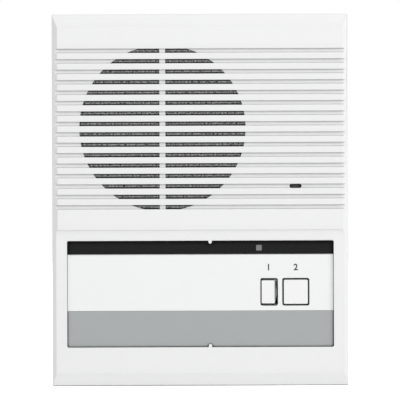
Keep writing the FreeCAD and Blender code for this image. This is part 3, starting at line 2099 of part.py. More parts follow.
def check():
    """Stops if an object failed, a pocket cut nothing or a sub-part isn't sound."""
    faults = []
    for item in document.Objects:
        if {"Invalid", "Error"} & set(item.State):
            faults.append(f"{item.Name} is {item.State}")
        cuts = item.TypeId == "PartDesign::Pocket" and not item.Shape.isNull()
        if cuts and item.Shape.Volume > item.BaseFeature.Shape.Volume - 1e-6:
            faults.append(f"{item.Name} cuts nothing")
    for name, item in nodes.items():
        if item.Shape.isNull() or not item.Shape.isValid() or not item.Shape.Solids:
            faults.append(f"{name} has no sound shape")
    if faults:
        raise RuntimeError("; ".join(faults))


def write():
    os.makedirs("parts", exist_ok=True)
    for name, item in nodes.items():
        item.Shape.exportStep(f"parts/{name}.step")
        print(f"{name}: {len(item.Shape.Solids)} solids, {item.Shape.Volume:.1f} mm3")


build()
check()
write()
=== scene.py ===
import json
import math

import bmesh
import bpy
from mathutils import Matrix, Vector, noise


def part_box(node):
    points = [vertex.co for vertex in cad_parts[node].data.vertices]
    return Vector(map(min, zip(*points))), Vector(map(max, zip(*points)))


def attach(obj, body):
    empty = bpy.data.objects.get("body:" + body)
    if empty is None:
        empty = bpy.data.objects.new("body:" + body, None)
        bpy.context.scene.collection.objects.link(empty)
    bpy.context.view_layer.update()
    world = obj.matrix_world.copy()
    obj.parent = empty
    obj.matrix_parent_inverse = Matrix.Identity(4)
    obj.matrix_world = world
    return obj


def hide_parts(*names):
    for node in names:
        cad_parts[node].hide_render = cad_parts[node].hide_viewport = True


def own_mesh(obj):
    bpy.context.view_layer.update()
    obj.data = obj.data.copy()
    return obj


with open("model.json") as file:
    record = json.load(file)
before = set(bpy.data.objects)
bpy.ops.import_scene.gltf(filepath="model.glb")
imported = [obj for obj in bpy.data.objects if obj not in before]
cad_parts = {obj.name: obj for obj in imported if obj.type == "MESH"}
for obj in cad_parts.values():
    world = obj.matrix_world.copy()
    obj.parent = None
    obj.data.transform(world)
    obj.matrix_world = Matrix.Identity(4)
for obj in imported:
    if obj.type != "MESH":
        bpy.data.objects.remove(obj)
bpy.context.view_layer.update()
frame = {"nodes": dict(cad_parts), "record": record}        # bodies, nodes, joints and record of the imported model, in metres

# the desk intercom's finishes, soft edges, cloth, springs and print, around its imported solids

mm = 0.001
nodes = frame["nodes"]
scene = bpy.context.scene
print("frame loaded:", len(nodes), "nodes")

# shader helpers: a value is either a plain number or colour, or the socket of another node


def wire(tree, value, socket):
    if isinstance(value, bpy.types.NodeSocket):
        tree.links.new(value, socket)
    else:
        socket.default_value = value


def colourOf(values):
    return (values[0], values[1], values[2], 1.0)


def compute(tree, operation, *values, clamp=False):
    step = tree.nodes.new("ShaderNodeMath")
    step.operation = operation
    step.use_clamp = clamp
    for index, value in enumerate(values):
        wire(tree, value, step.inputs[index])
    return step.outputs[0]


mixSockets = {"mask": 0, "first": 6, "second": 7, "result": 2}      # where a Mix node keeps its colours


def mixColours(tree, mask, first, second):
    mix = tree.nodes.new("ShaderNodeMix")
    mix.data_type = "RGBA"
    wire(tree, mask, mix.inputs[mixSockets["mask"]])
    wire(tree, first, mix.inputs[mixSockets["first"]])
    wire(tree, second, mix.inputs[mixSockets["second"]])
    return mix.outputs[mixSockets["result"]]


def brighten(tree, colour, value):
    shade = tree.nodes.new("ShaderNodeHueSaturation")
    wire(tree, value, shade.inputs["Value"])
    wire(tree, colour, shade.inputs["Color"])
    return shade.outputs["Color"]


def objectPlace(tree):
    return tree.nodes.new("ShaderNodeTexCoord").outputs["Object"]


def splitPlace(tree, place):
    split = tree.nodes.new("ShaderNodeSeparateXYZ")
    tree.links.new(place, split.inputs[0])
    return split.outputs


def stretchPlace(tree, place, scale):
    mapping = tree.nodes.new("ShaderNodeMapping")
    tree.links.new(place, mapping.inputs["Vector"])
    mapping.inputs["Scale"].default_value = scale
    return mapping.outputs["Vector"]


def noiseAt(tree, place, scale, detail=2.0):
    texture = tree.nodes.new("ShaderNodeTexNoise")
    tree.links.new(place, texture.inputs["Vector"])
    wire(tree, scale, texture.inputs["Scale"])
    texture.inputs["Detail"].default_value = detail
    return texture.outputs["Fac"]


def swing(tree, value, amount):      # a 0..1 noise becomes 1 plus or minus half the amount
    centred = compute(tree, "SUBTRACT", value, 0.5)
    return compute(tree, "MULTIPLY_ADD", centred, amount, 1.0)


def newGroup(name, inputs, outputs):
    group = bpy.data.node_groups.new(name, "ShaderNodeTree")
    for label, kind, value in inputs:
        socket = group.interface.new_socket(label, in_out="INPUT", socket_type=f"NodeSocket{kind}")
        socket.default_value = value
    for label, kind in outputs:
        group.interface.new_socket(label, in_out="OUTPUT", socket_type=f"NodeSocket{kind}")
    entry = group.nodes.new("NodeGroupInput")
    leave = group.nodes.new("NodeGroupOutput")
    return group, entry.outputs, leave.inputs


grey = (0.5, 0.5, 0.5, 1.0)      # every colour socket's value until a material sets it

# shader groups; their noise scales are in features per metre, their lengths in millimetres

grainNoise = {
    "cloudScale": 28.0,
    "cloudDetail": 3.0,
    "fineDetail": 2.0,
    "glossScale": 90.0,
    "glossDetail": 4.0,
}


def makeMouldedGrain():      # fine mould texture with faint clouds of colour and gloss
    inputs = [("Colour", "Color", grey), ("Clouds", "Float", 0.02), ("Grain Size", "Float", 0.4)]
    inputs += [("Roughness", "Float", 0.5), ("Spread", "Float", 0.1)]
    outputs = [("Colour", "Color"), ("Roughness", "Float"), ("Height", "Float")]
    group, entry, leave = newGroup("mouldedGrain", inputs, outputs)
    place = objectPlace(group)
    cloud = noiseAt(group, place, grainNoise["cloudScale"], grainNoise["cloudDetail"])
    fineScale = compute(group, "DIVIDE", 1 / mm, entry["Grain Size"])
    fine = noiseAt(group, place, fineScale, grainNoise["fineDetail"])
    wire(group, brighten(group, entry["Colour"], swing(group, cloud, entry["Clouds"])), leave["Colour"])
    gloss = noiseAt(group, place, grainNoise["glossScale"], grainNoise["glossDetail"])
    patch = compute(group, "SUBTRACT", gloss, 0.5)
    roughness = compute(group, "MULTIPLY_ADD", patch, entry["Spread"], entry["Roughness"])
    wire(group, roughness, leave["Roughness"])
    wire(group, fine, leave["Height"])
    return group


# how the painted shade in corners and gaps is sampled and spread
shadeSpread = {
    "samples": 8,
    "patchScale": 260.0,
    "patchDetail": 4.0,
    "patches": 0.6,      # how unevenly the painted shade lies
    "dulling": 0.45,      # roughness that full painted shade adds
}


def makePaintedShade(name, ownPiece):      # painted shade, darker in corners, recesses and gaps by ambient occlusion; leaning down, it looks down for a wall below
    inputs = [("Colour", "Color", grey), ("Grime", "Color", grey), ("Reach", "Float", 1.0)]
    inputs += [("Amount", "Float", 0.5), ("Sharpness", "Float", 1.0), ("Settling", "Float", 0.0)]
    group, entry, leave = newGroup(name, inputs, [("Colour", "Color"), ("Mask", "Float")])
    openness = group.nodes.new("ShaderNodeAmbientOcclusion")
    openness.samples = shadeSpread["samples"]
    openness.only_local = ownPiece      # else the pieces beside it count as well
    wire(group, compute(group, "MULTIPLY", entry["Reach"], mm), openness.inputs["Distance"])
    down = group.nodes.new("ShaderNodeCombineXYZ")
    wire(group, compute(group, "MULTIPLY", entry["Settling"], -1.0), down.inputs["Z"])
    lean = group.nodes.new("ShaderNodeVectorMath")
    lean.operation = "ADD"
    wire(group, group.nodes.new("ShaderNodeNewGeometry").outputs["Normal"], lean.inputs[0])
    wire(group, down.outputs[0], lean.inputs[1])
    aim = group.nodes.new("ShaderNodeVectorMath")
    aim.operation = "NORMALIZE"
    wire(group, lean.outputs[0], aim.inputs[0])
    wire(group, aim.outputs[0], openness.inputs["Normal"])
    hidden = compute(group, "SUBTRACT", 1.0, openness.outputs["AO"], clamp=True)
    hidden = compute(group, "POWER", hidden, entry["Sharpness"])
    patches = noiseAt(group, objectPlace(group), shadeSpread["patchScale"], shadeSpread["patchDetail"])
    hidden = compute(group, "MULTIPLY", hidden, swing(group, patches, shadeSpread["patches"]))
    mask = compute(group, "MULTIPLY", hidden, entry["Amount"], clamp=True)
    wire(group, mixColours(group, mask, entry["Colour"], entry["Grime"]), leave["Colour"])
    wire(group, mask, leave["Mask"])
    return group


# how the painted highlight on edges is found and spread
highlightSpread = {
    "samples": 4,
    "gain": 6.0,      # how soon a turning surface counts as an edge
    "wearScale": 220.0,
    "wearDetail": 3.0,
    "unevenness": 1.0,
}


def makeEdgeHighlight():      # painted highlight, edges made lighter
    inputs = [("Colour", "Color", grey), ("Rubbed", "Color", grey), ("Radius", "Float", 0.4)]
    inputs += [("Amount", "Float", 0.5)]
    group, entry, leave = newGroup("rubbedEdges", inputs, [("Colour", "Color"), ("Mask", "Float")])
    rounding = group.nodes.new("ShaderNodeBevel")
    rounding.samples = highlightSpread["samples"]
    wire(group, compute(group, "MULTIPLY", entry["Radius"], mm), rounding.inputs["Radius"])
    facing = group.nodes.new("ShaderNodeVectorMath")
    facing.operation = "DOT_PRODUCT"
    wire(group, rounding.outputs[0], facing.inputs[0])
    wire(group, group.nodes.new("ShaderNodeNewGeometry").outputs["Normal"], facing.inputs[1])
    turned = compute(group, "SUBTRACT", 1.0, facing.outputs["Value"])
    edge = compute(group, "MULTIPLY", turned, highlightSpread["gain"], clamp=True)
    highlightPatches = noiseAt(group, objectPlace(group), highlightSpread["wearScale"], highlightSpread["wearDetail"])
    edge = compute(group, "MULTIPLY", edge, swing(group, highlightPatches, highlightSpread["unevenness"]))
    mask = compute(group, "MULTIPLY", edge, entry["Amount"], clamp=True)
    wire(group, mixColours(group, mask, entry["Colour"], entry["Rubbed"]), leave["Colour"])
    wire(group, mask, leave["Mask"])
    return group


weaveDrift = {
    "waverScale": 300.0,
    "waverDetail": 3.0,
    "waver": 0.6,      # how far the threads wander, in pitches
    "threadScale": 900.0,
    "threadDetail": 2.0,
    "threads": 0.5,      # how much they differ in height
    "patchScale": 420.0,
    "patchDetail": 4.0,
}


def makePlainWeave():      # crossing threads, seen along the depth of the case
    inputs = [("Warp", "Color", grey), ("Weft", "Color", grey), ("Gap", "Color", grey)]
    inputs += [("Pitch", "Float", 0.8), ("Unevenness", "Float", 0.5)]
    group, entry, leave = newGroup("plainWeave", inputs, [("Colour", "Color"), ("Height", "Float")])
    place = objectPlace(group)
    axes = splitPlace(group, place)
    perMetre = compute(group, "DIVIDE", 1 / mm, entry["Pitch"])
    wander = noiseAt(group, place, weaveDrift["waverScale"], weaveDrift["waverDetail"])
    waver = compute(group, "MULTIPLY", wander, weaveDrift["waver"])
    across = compute(group, "ADD", compute(group, "MULTIPLY", axes[0], perMetre), waver)
    level = compute(group, "ADD", compute(group, "MULTIPLY", axes[2], perMetre), waver)
    cells = compute(group, "ADD", compute(group, "FLOOR", across), compute(group, "FLOOR", level))
    warpOnTop = compute(group, "PINGPONG", cells, 1.0)
    crowns = []
    for run in (across, level):
        turn = compute(group, "MULTIPLY", compute(group, "FRACT", run), math.pi)
        crowns.append(compute(group, "SINE", turn))
    difference = compute(group, "SUBTRACT", crowns[0], crowns[1])
    crown = compute(group, "MULTIPLY_ADD", difference, warpOnTop, crowns[1])
    fullness = noiseAt(group, place, weaveDrift["threadScale"], weaveDrift["threadDetail"])
    height = compute(group, "MULTIPLY", crown, swing(group, fullness, weaveDrift["threads"]))
    thread = mixColours(group, warpOnTop, entry["Weft"], entry["Warp"])
    patches = noiseAt(group, place, weaveDrift["patchScale"], weaveDrift["patchDetail"])
    thread = brighten(group, thread, swing(group, patches, entry["Unevenness"]))
    wire(group, mixColours(group, height, entry["Gap"], thread), leave["Colour"])
    wire(group, height, leave["Height"])
    return group


drawnLines = {
    "stretch": (300.0, 4000.0, 4000.0),      # long along X, fine across it
    "lineDetail": 3.0,
    "spotScale": 350.0,
    "spotDetail": 5.0,
    "spots": 0.25,
}


def makeDrawnMetal():      # short lines left by drawing, rolling or turning
    inputs = [("Colour", "Color", grey), ("Roughness", "Float", 0.3), ("Spread", "Float", 0.2)]
    outputs = [("Colour", "Color"), ("Roughness", "Float"), ("Height", "Float")]
    group, entry, leave = newGroup("drawnMetal", inputs, outputs)
    place = objectPlace(group)
    lines = noiseAt(group, stretchPlace(group, place, drawnLines["stretch"]), 1.0, drawnLines["lineDetail"])
    spots = noiseAt(group, place, drawnLines["spotScale"], drawnLines["spotDetail"])
    spotted = brighten(group, entry["Colour"], swing(group, spots, drawnLines["spots"]))
    wire(group, spotted, leave["Colour"])
    wander = compute(group, "SUBTRACT", lines, 0.5)
    roughness = compute(group, "MULTIPLY_ADD", wander, entry["Spread"], entry["Roughness"])
    wire(group, roughness, leave["Roughness"])
    wire(group, lines, leave["Height"])
    return group


fibreMat = {
    "stretch": (1.0, 1.0, 0.25),      # fibres lie longest upright
    "detail": 5.0,
    "contrast": 2.5,
}


def makePressedFibre():      # matted fibres, as in paper pulp and resin-bonded board
    inputs = [("Colour", "Color", grey), ("Fibres", "Color", grey), ("Fibre Size", "Float", 0.5)]
    group, entry, leave = newGroup("pressedFibre", inputs, [("Colour", "Color"), ("Height", "Float")])
    place = objectPlace(group)
    scale = compute(group, "DIVIDE", 1 / mm, entry["Fibre Size"])
    matting = noiseAt(group, stretchPlace(group, place, fibreMat["stretch"]), scale, fibreMat["detail"])
    centred = compute(group, "SUBTRACT", matting, 0.5)
    shown = compute(group, "MULTIPLY_ADD", centred, fibreMat["contrast"], 0.5, clamp=True)
    wire(group, mixColours(group, shown, entry["Colour"], entry["Fibres"]), leave["Colour"])
    wire(group, matting, leave["Height"])
    return group


groups = {
    "mouldedGrain": makeMouldedGrain(),
    # painted shade in corners and gaps, and a painted highlight on edges
    "ownCornerShade": makePaintedShade("ownCornerShade", True),
    "gapGrime": makePaintedShade("gapGrime", False),
    "rubbedEdges": makeEdgeHighlight(),
    "plainWeave": makePlainWeave(),
    "drawnMetal": makeDrawnMetal(),
    "pressedFibre": makePressedFibre(),
}
print("shader groups made:", len(groups))


def useGroup(tree, name, **values):      # puts a group in a material, its inputs named in camelCase
    step = tree.nodes.new("ShaderNodeGroup")
    step.node_tree = groups[name]
    sockets = {socket.name.replace(" ", "").lower(): socket for socket in step.inputs}
    for label, value in values.items():
        wire(tree, value, sockets[label.lower()])
    return step.outputs


def newMaterial(name, constants):      # constants go straight to the shader's own sockets
    material = bpy.data.materials.new(name)
    material.use_nodes = True
    shader = material.node_tree.nodes["Principled BSDF"]
    for label, value in constants.items():
        shader.inputs[label].default_value = value
    return material, material.node_tree, shader


def raiseSurface(tree, shader, height, depth):      # depth of the relief in millimetres
    bump = tree.nodes.new("ShaderNodeBump")
    bump.inputs["Distance"].default_value = depth * mm
    wire(tree, height, bump.inputs["Height"])
    wire(tree, bump.outputs["Normal"], shader.inputs["Normal"])


plainGloss = 0.5      # the shader's own level, for plastics that give none


def plastic(name, look):
    constants = {"Specular IOR Level": look.get("gloss", plainGloss), "Coat Weight": look.get("coat", 0.0)}
    material, tree, shader = newMaterial(name, constants)
    colour = colourOf(look["colour"])
    roughness = look["roughness"]
    # painted shade in corners, recesses and gaps, which also roughens the surface
    for kind, groupName in (("dust", "ownCornerShade"), ("grime", "gapGrime")):
        if kind in look:
            shadeSpec = dict(look[kind])
            values = {"grime": colourOf(shadeSpec.pop("colour")), **shadeSpec}
            shaded = useGroup(tree, groupName, colour=colour, **values)
            colour = shaded["Colour"]
            roughness = compute(tree, "MULTIPLY_ADD", shaded["Mask"], shadeSpread["dulling"], roughness)
    # a painted highlight on the edges
    if "rub" in look:
        rub = look["rub"]
        values = {"rubbed": colourOf(rub["colour"]), "radius": rub["radius"], "amount": rub["amount"]}
        colour = useGroup(tree, "rubbedEdges", colour=colour, **values)["Colour"]
    values = {"clouds": look["clouds"], "grainSize": look["grainSize"]}
    values.update(roughness=roughness, spread=look["spread"])
    grain = useGroup(tree, "mouldedGrain", colour=colour, **values)
    wire(tree, grain["Colour"], shader.inputs["Base Color"])
    wire(tree, grain["Roughness"], shader.inputs["Roughness"])
    raiseSurface(tree, shader, grain["Height"], look["grainDepth"])
    return material


def metal(name, look):
    material, tree, shader = newMaterial(name, {"Metallic": 1.0})
    values = {"roughness": look["roughness"], "spread": look["spread"]}
    drawn = useGroup(tree, "drawnMetal", colour=colourOf(look["colour"]), **values)
    wire(tree, drawn["Colour"], shader.inputs["Base Color"])
    wire(tree, drawn["Roughness"], shader.inputs["Roughness"])
    raiseSurface(tree, shader, drawn["Height"], look["lineDepth"])
    return material


def fibre(name, look):
    material, tree, shader = newMaterial(name, {"Roughness": look["roughness"]})
    values = {"fibres": colourOf(look["fibres"]), "fibreSize": look["fibreSize"]}
    matted = useGroup(tree, "pressedFibre", colour=colourOf(look["colour"]), **values)
    wire(tree, matted["Colour"], shader.inputs["Base Color"])
    raiseSurface(tree, shader, matted["Height"], look["relief"])
    return material


def paintSlotLight(tree, colour, dust):      # painted light: the cloth lighter in a band in line with each slot, where light falls through it
    level = compute(tree, "MULTIPLY", splitPlace(tree, objectPlace(tree))[2], 1 / mm)
    level = compute(tree, "SUBTRACT", level, dust["topSlot"])
    turn = compute(tree, "MULTIPLY", compute(tree, "DIVIDE", level, dust["pitch"]), 2 * math.pi)
    band = compute(tree, "MULTIPLY_ADD", compute(tree, "COSINE", turn), 0.5, 0.5)
    mask = compute(tree, "MULTIPLY", compute(tree, "POWER", band, dust["sharpness"]), dust["amount"])
    patches = noiseAt(tree, objectPlace(tree), dust["patchScale"], dust["patchDetail"])
    mask = compute(tree, "MULTIPLY", mask, swing(tree, patches, dust["patches"]), clamp=True)
    return mixColours(tree, mask, colour, colourOf(dust["colour"]))


def woven(name, look):
    material, tree, shader = newMaterial(name, {"Roughness": look["roughness"]})
    values = {"warp": colourOf(look["warp"]), "weft": colourOf(look["weft"]), "gap": colourOf(look["gap"])}
    cloth = useGroup(tree, "plainWeave", pitch=look["pitch"], unevenness=look["unevenness"], **values)
    colour = cloth["Colour"]
    if "slotDust" in look:
        colour = paintSlotLight(tree, colour, look["slotDust"])
    wire(tree, colour, shader.inputs["Base Color"])
    raiseSurface(tree, shader, cloth["Height"], look["relief"])
    return material


# finishes; grainSize, reach, radius, pitch and every depth or relief are in millimetres

coverLook = {
    "colour": (0.785, 0.793, 0.787),
    "roughness": 0.42,
    "spread": 0.08,
    "clouds": 0.012,
    "grainSize": 0.35,
    "grainDepth": 0.012,
    # painted shade in recesses and corners, and a painted highlight on the edges
    "dust": {"colour": (0.3, 0.3, 0.29), "reach": 3.0, "sharpness": 0.8, "amount": 0.4, "settling": 0.5},
    "grime": {"colour": (0.05, 0.05, 0.048), "reach": 0.6, "sharpness": 0.8, "amount": 0.8, "settling": 0.2},
    "rub": {"colour": (0.9, 0.9, 0.9), "radius": 0.35, "amount": 0.5},
}
caseLook = {
    "colour": (0.79, 0.80, 0.79),
    "roughness": 0.45,
    "spread": 0.08,
    "clouds": 0.015,
    "grainSize": 0.35,
    "grainDepth": 0.02,
    # painted shade in corners and seams, and a painted highlight on the edges
    "grime": {"colour": (0.08, 0.08, 0.075), "reach": 0.9, "sharpness": 0.7, "amount": 0.9},
    "rub": {"colour": (0.88, 0.88, 0.88), "radius": 0.4, "amount": 0.4},
}
panelLook = {
    "colour": (0.82, 0.83, 0.825),
    "roughness": 0.5,
    "spread": 0.05,
    "clouds": 0.01,
    "grainSize": 0.25,
    "grainDepth": 0.006,
    # painted shade along the walls around the panel
    "grime": {"colour": (0.02, 0.02, 0.02), "reach": 3.0, "sharpness": 1.2, "amount": 0.3},
}
keyLook = {
    "colour": (0.815, 0.82, 0.815),
    "roughness": 0.3,
    "spread": 0.06,
    "clouds": 0.01,
    "grainSize": 0.5,
    "grainDepth": 0.004,
    # painted shade in the gaps around the key, and a painted highlight on its edges
    "grime": {"colour": (0.01, 0.01, 0.01), "reach": 2.0, "sharpness": 0.7, "amount": 1.2},
    "rub": {"colour": (0.92, 0.92, 0.92), "radius": 0.3, "amount": 0.5},
}
nameLook = {
    "colour": (0.346, 0.365, 0.365),
    "roughness": 0.42,
    "spread": 0.08,
    "clouds": 0.04,
    "grainSize": 0.25,
    "grainDepth": 0.006,
    # painted shade at the band's ends and edges
    "grime": {"colour": (0.01, 0.01, 0.01), "reach": 1.4, "sharpness": 1.3, "amount": 2.3},
}
windowLook = {
    "colour": (0.006, 0.006, 0.006),
    "roughness": 0.16,
    "spread": 0.06,
    "clouds": 0.1,
    "grainSize": 0.8,
    "grainDepth": 0.002,
    "gloss": 0.08,
    # painted shade towards the window's edges
    "grime": {"colour": (0.001, 0.001, 0.001), "reach": 2.5, "sharpness": 0.6, "amount": 1.8},
}
lampLook = {
    "colour": (0.15, 0.15, 0.15),
    "roughness": 0.35,
    "spread": 0.1,
    "clouds": 0.1,
    "grainSize": 0.3,
    "grainDepth": 0.01,
}
darkLook = {
    "colour": (0.02, 0.02, 0.022),
    "roughness": 0.5,
    "spread": 0.15,
    "clouds": 0.2,
    "grainSize": 0.2,
    "grainDepth": 0.01,
}
nylonLook = {
    "colour": (0.68, 0.66, 0.58),
    "roughness": 0.45,
    "spread": 0.1,
    "clouds": 0.05,
    "grainSize": 0.3,
    "grainDepth": 0.006,
}
ledLook = {
    "colour": (0.5, 0.03, 0.02),
    "roughness": 0.12,
    "spread": 0.04,
    "clouds": 0.05,
    "grainSize": 0.5,
    "grainDepth": 0.001,
    "coat": 0.5,
}
sleeveLook = {
    "colour": (0.02, 0.05, 0.14),
    "roughness": 0.25,
    "spread": 0.1,
    "clouds": 0.1,
    "grainSize": 0.6,
    "grainDepth": 0.01,
    "coat": 0.3,
}
lacquerLook = {
    "colour": (0.42, 0.28, 0.13),
    "roughness": 0.3,
    "spread": 0.1,
    "clouds": 0.2,
    "grainSize": 0.5,
    "grainDepth": 0.01,
}
blockLook = {
    "colour": (0.03, 0.16, 0.08),
    "roughness": 0.5,
    "spread": 0.1,
    "clouds": 0.08,
    "grainSize": 0.3,
    "grainDepth": 0.01,
}
ribbonLook = {
    "colour": (0.36, 0.36, 0.38),
    "roughness": 0.5,
    "spread": 0.1,
    "clouds": 0.08,
    "grainSize": 0.4,
    "grainDepth": 0.01,
}
rubberLook = {
    "colour": (0.025, 0.025, 0.025),
    "roughness": 0.75,
    "spread": 0.15,
    "clouds": 0.2,
    "grainSize": 0.3,
    "grainDepth": 0.02,
}
zincLook = {"colour": (0.62, 0.62, 0.60), "roughness": 0.32, "spread": 0.2, "lineDepth": 0.004}
frameLook = {"colour": (0.50, 0.50, 0.47), "roughness": 0.38, "spread": 0.25, "lineDepth": 0.006}
springLook = {"colour": (0.58, 0.58, 0.58), "roughness": 0.22, "spread": 0.1, "lineDepth": 0.002}
coreLook = {"colour": (0.17, 0.17, 0.18), "roughness": 0.45, "spread": 0.2, "lineDepth": 0.05}
copperLook = {"colour": (0.70, 0.32, 0.16), "roughness": 0.3, "spread": 0.2, "lineDepth": 0.05}
capsuleLook = {"colour": (0.66, 0.66, 0.66), "roughness": 0.3, "spread": 0.15, "lineDepth": 0.004}
boardLook = {
    "colour": (0.24, 0.12, 0.04),
    "fibres": (0.34, 0.19, 0.07),
    "fibreSize": 0.6,
    "roughness": 0.4,
    "relief": 0.01,
}
coneLook = {
    "colour": (0.045, 0.045, 0.05),
    "fibres": (0.09, 0.09, 0.095),
    "fibreSize": 0.8,
    "roughness": 0.85,
    "relief": 0.05,
}
feltLook = {
    "colour": (0.02, 0.02, 0.02),
    "fibres": (0.17, 0.17, 0.17),
    "fibreSize": 0.45,
    "roughness": 0.95,
    "relief": 0.06,
}
gasketLook = {
    "colour": (0.2, 0.16, 0.12),
    "fibres": (0.28, 0.24, 0.18),
    "fibreSize": 0.7,
    "roughness": 0.9,
    "relief": 0.04,
}
ferriteLook = {
    "colour": (0.05, 0.05, 0.052),
    "fibres": (0.09, 0.09, 0.09),
    "fibreSize": 0.3,
    "roughness": 0.7,
    "relief": 0.02,
}
treatedLook = {
    "warp": (0.16, 0.10, 0.04),
    "weft": (0.13, 0.08, 0.03),
    "gap": (0.04, 0.02, 0.01),
    "pitch": 0.6,
    "unevenness": 0.4,
    "roughness": 0.6,
    "relief": 0.04,
}
clothLook = {
    "warp": (0.032, 0.032, 0.033),
    "weft": (0.018, 0.018, 0.019),
    "gap": (0.004, 0.004, 0.004),
    "pitch": 0.9,
    "unevenness": 1.1,
    "roughness": 0.9,
    "relief": 0.12,
    # painted light on the cloth behind the slots, darker between them
    "slotDust": {
        "colour": (0.62, 0.62, 0.61),
        "topSlot": 169.9,      # level of the top band of painted light
        "pitch": 5.28,      # from one slot to the next
        "sharpness": 16.0,
        "amount": 0.66,
        "patchScale": 1100.0,
        "patchDetail": 4.0,
        "patches": 6.0,
    },
}

materials = {
    "cover_plastic": plastic("coverPlastic", coverLook),
    "case_plastic": plastic("casePlastic", caseLook),
    "panel_white": plastic("panelWhite", panelLook),
    "name_grey": plastic("bandGrey", nameLook),
    "smoked_window": plastic("smokedWindow", windowLook),
    "key_plastic": plastic("keyPlastic", keyLook),
    "lamp_plastic": plastic("lampPlastic", lampLook),
    "dark_plastic": plastic("darkPlastic", darkLook),
    "plunger_plastic": plastic("nylon", nylonLook),
    "spring_steel": metal("springSteel", springLook),
    "zinc_steel": metal("zincSteel", zincLook),
    "frame_steel": metal("frameSteel", frameLook),
    "board_phenolic": fibre("boardResin", boardLook),
    "led_red": plastic("ledRed", ledLook),
    "core_iron": metal("coreIron", coreLook),
    "copper": metal("copperWire", copperLook),
    "can_sleeve": plastic("canSleeve", sleeveLook),
    "resistor_lacquer": plastic("resistorLacquer", lacquerLook),
    "block_plastic": plastic("blockPlastic", blockLook),
    "ribbon_grey": plastic("ribbonGrey", ribbonLook),
    "boot_rubber": plastic("bootRubber", rubberLook),
    "capsule_metal": metal("capsuleMetal", capsuleLook),
    "felt_grey": fibre("feltGrey", feltLook),
    "grille_fabric": woven("grilleFabric", clothLook),
    "gasket_board": fibre("gasketBoard", gasketLook),
    "cone_paper": fibre("conePaper", coneLook),
    "treated_cloth": woven("treatedCloth", treatedLook),
    "ferrite": fibre("ferrite", ferriteLook),
    "strip_phenolic": fibre("stripResin", boardLook),
}
for part in frame["record"]["subparts"]:
    node = nodes[part["node"]]
    for slot in node.material_slots:
        slot.material = materials[part["material_slot"]]
print("materials assigned:", len(materials))

# small edge roundings on the solids that show, in millimetres

softEdges = {
    "front_cover": 0.14,
    "rear_case": 0.2,
    "panel_plate": 0.1,
    "name_strip": 0.08,
    "call_button": 0.25,
    "privacy_button": 0.2,
    "lamp_guide": 0.1,
}
edgeFinish = {
    "weld": 0.008,      # corners of the solid closer than this become one
    "flatAngle": 0.5,
    "sharpAngle": 32.0,
    "segments": 2,
    "sliver": 0.004,      # corners of the roundings closer than this become one
}


def softenEdges(node, width):
    weld = node.modifiers.new("weld", "WELD")
    weld.merge_threshold = edgeFinish["weld"] * mm
    plain = node.modifiers.new("plainFaces", "DECIMATE")
    plain.decimate_type = "DISSOLVE"
    plain.angle_limit = math.radians(edgeFinish["flatAngle"])
    bevel = node.modifiers.new("softEdges", "BEVEL")
    bevel.offset_type = "WIDTH"
    bevel.width = width * mm
    bevel.segments = edgeFinish["segments"]
    bevel.limit_method = "ANGLE"
    bevel.angle_limit = math.radians(edgeFinish["sharpAngle"])
    bevel.use_clamp_overlap = False
    bevel.harden_normals = True
    sliver = node.modifiers.new("closeSlivers", "WELD")
    sliver.merge_threshold = edgeFinish["sliver"] * mm
    even = node.modifiers.new("evenShading", "WEIGHTED_NORMAL")
    even.keep_sharp = True


for name, width in softEdges.items():
    softenEdges(nodes[name], width)
print("edges softened:", len(softEdges))

# what every piece made below goes through


def meshOf(name, shape):
    mesh = bpy.data.meshes.new(name)
    shape.to_mesh(mesh)
    shape.free()
    return mesh


def addPiece(name, mesh, material, place=(0, 0, 0), turn=(0, 0, 0)):      # each is fixed in the case
    mesh.materials.clear()
    mesh.materials.append(material)
    piece = bpy.data.objects.new(name, mesh)
    piece.location = place
    piece.rotation_euler = turn
    scene.collection.objects.link(piece)
    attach(piece, "housing")
    return piece


# the cloth behind the grille

clothShape = {
    "radius": 44.0,
    "thickness": 0.25,
    "rings": 44,
    "spokes": 96,
    "ripple": 0.02,
    "rippleScale": 160.0,      # ripples per metre
}


def makeCloth():
    low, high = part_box("grille_cloth")
    centre = (low + high) / 2
    shape = bmesh.new()
    rings = []
    for ring in range(1, clothShape["rings"] + 1):
        radius = clothShape["radius"] * mm * ring / clothShape["rings"]
        turn = []
        for spoke in range(clothShape["spokes"]):
            angle = 2 * math.pi * spoke / clothShape["spokes"]
            point = Vector((math.cos(angle) * radius, 0.0, math.sin(angle) * radius)) + centre
            point.y += noise.noise(point * clothShape["rippleScale"]) * clothShape["ripple"] * mm
            turn.append(shape.verts.new(point))
        rings.append(turn)
    middle = shape.verts.new(centre)
    for spoke in range(clothShape["spokes"]):
        following = (spoke + 1) % clothShape["spokes"]
        shape.faces.new((middle, rings[0][following], rings[0][spoke]))
        for inner, outer in zip(rings, rings[1:]):
            shape.faces.new((inner[spoke], inner[following], outer[following], outer[spoke]))
    bmesh.ops.recalc_face_normals(shape, faces=shape.faces)
    mesh = meshOf("speakerCloth", shape)
    piece = addPiece("speakerCloth", mesh, materials["grille_fabric"])
    thicken = piece.modifiers.new("thickness", "SOLIDIFY")
    thicken.thickness = clothShape["thickness"] * mm
    thicken.offset = 0.0
    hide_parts("grille_cloth")


makeCloth()
print("grille cloth made")

# the coil springs under the keys

springShape = {
    "wire": 0.35,
    "turns": 4.5,
    "closedTurns": 0.8,      # turns lying close together at each end
    "closedRise": 0.18,      # their pitch as a share of the open turns' pitch
    "opening": 3.0,      # how quickly one pitch turns into the other, per turn
    "stepsPerTurn": 28,
    "sides": 8,
}


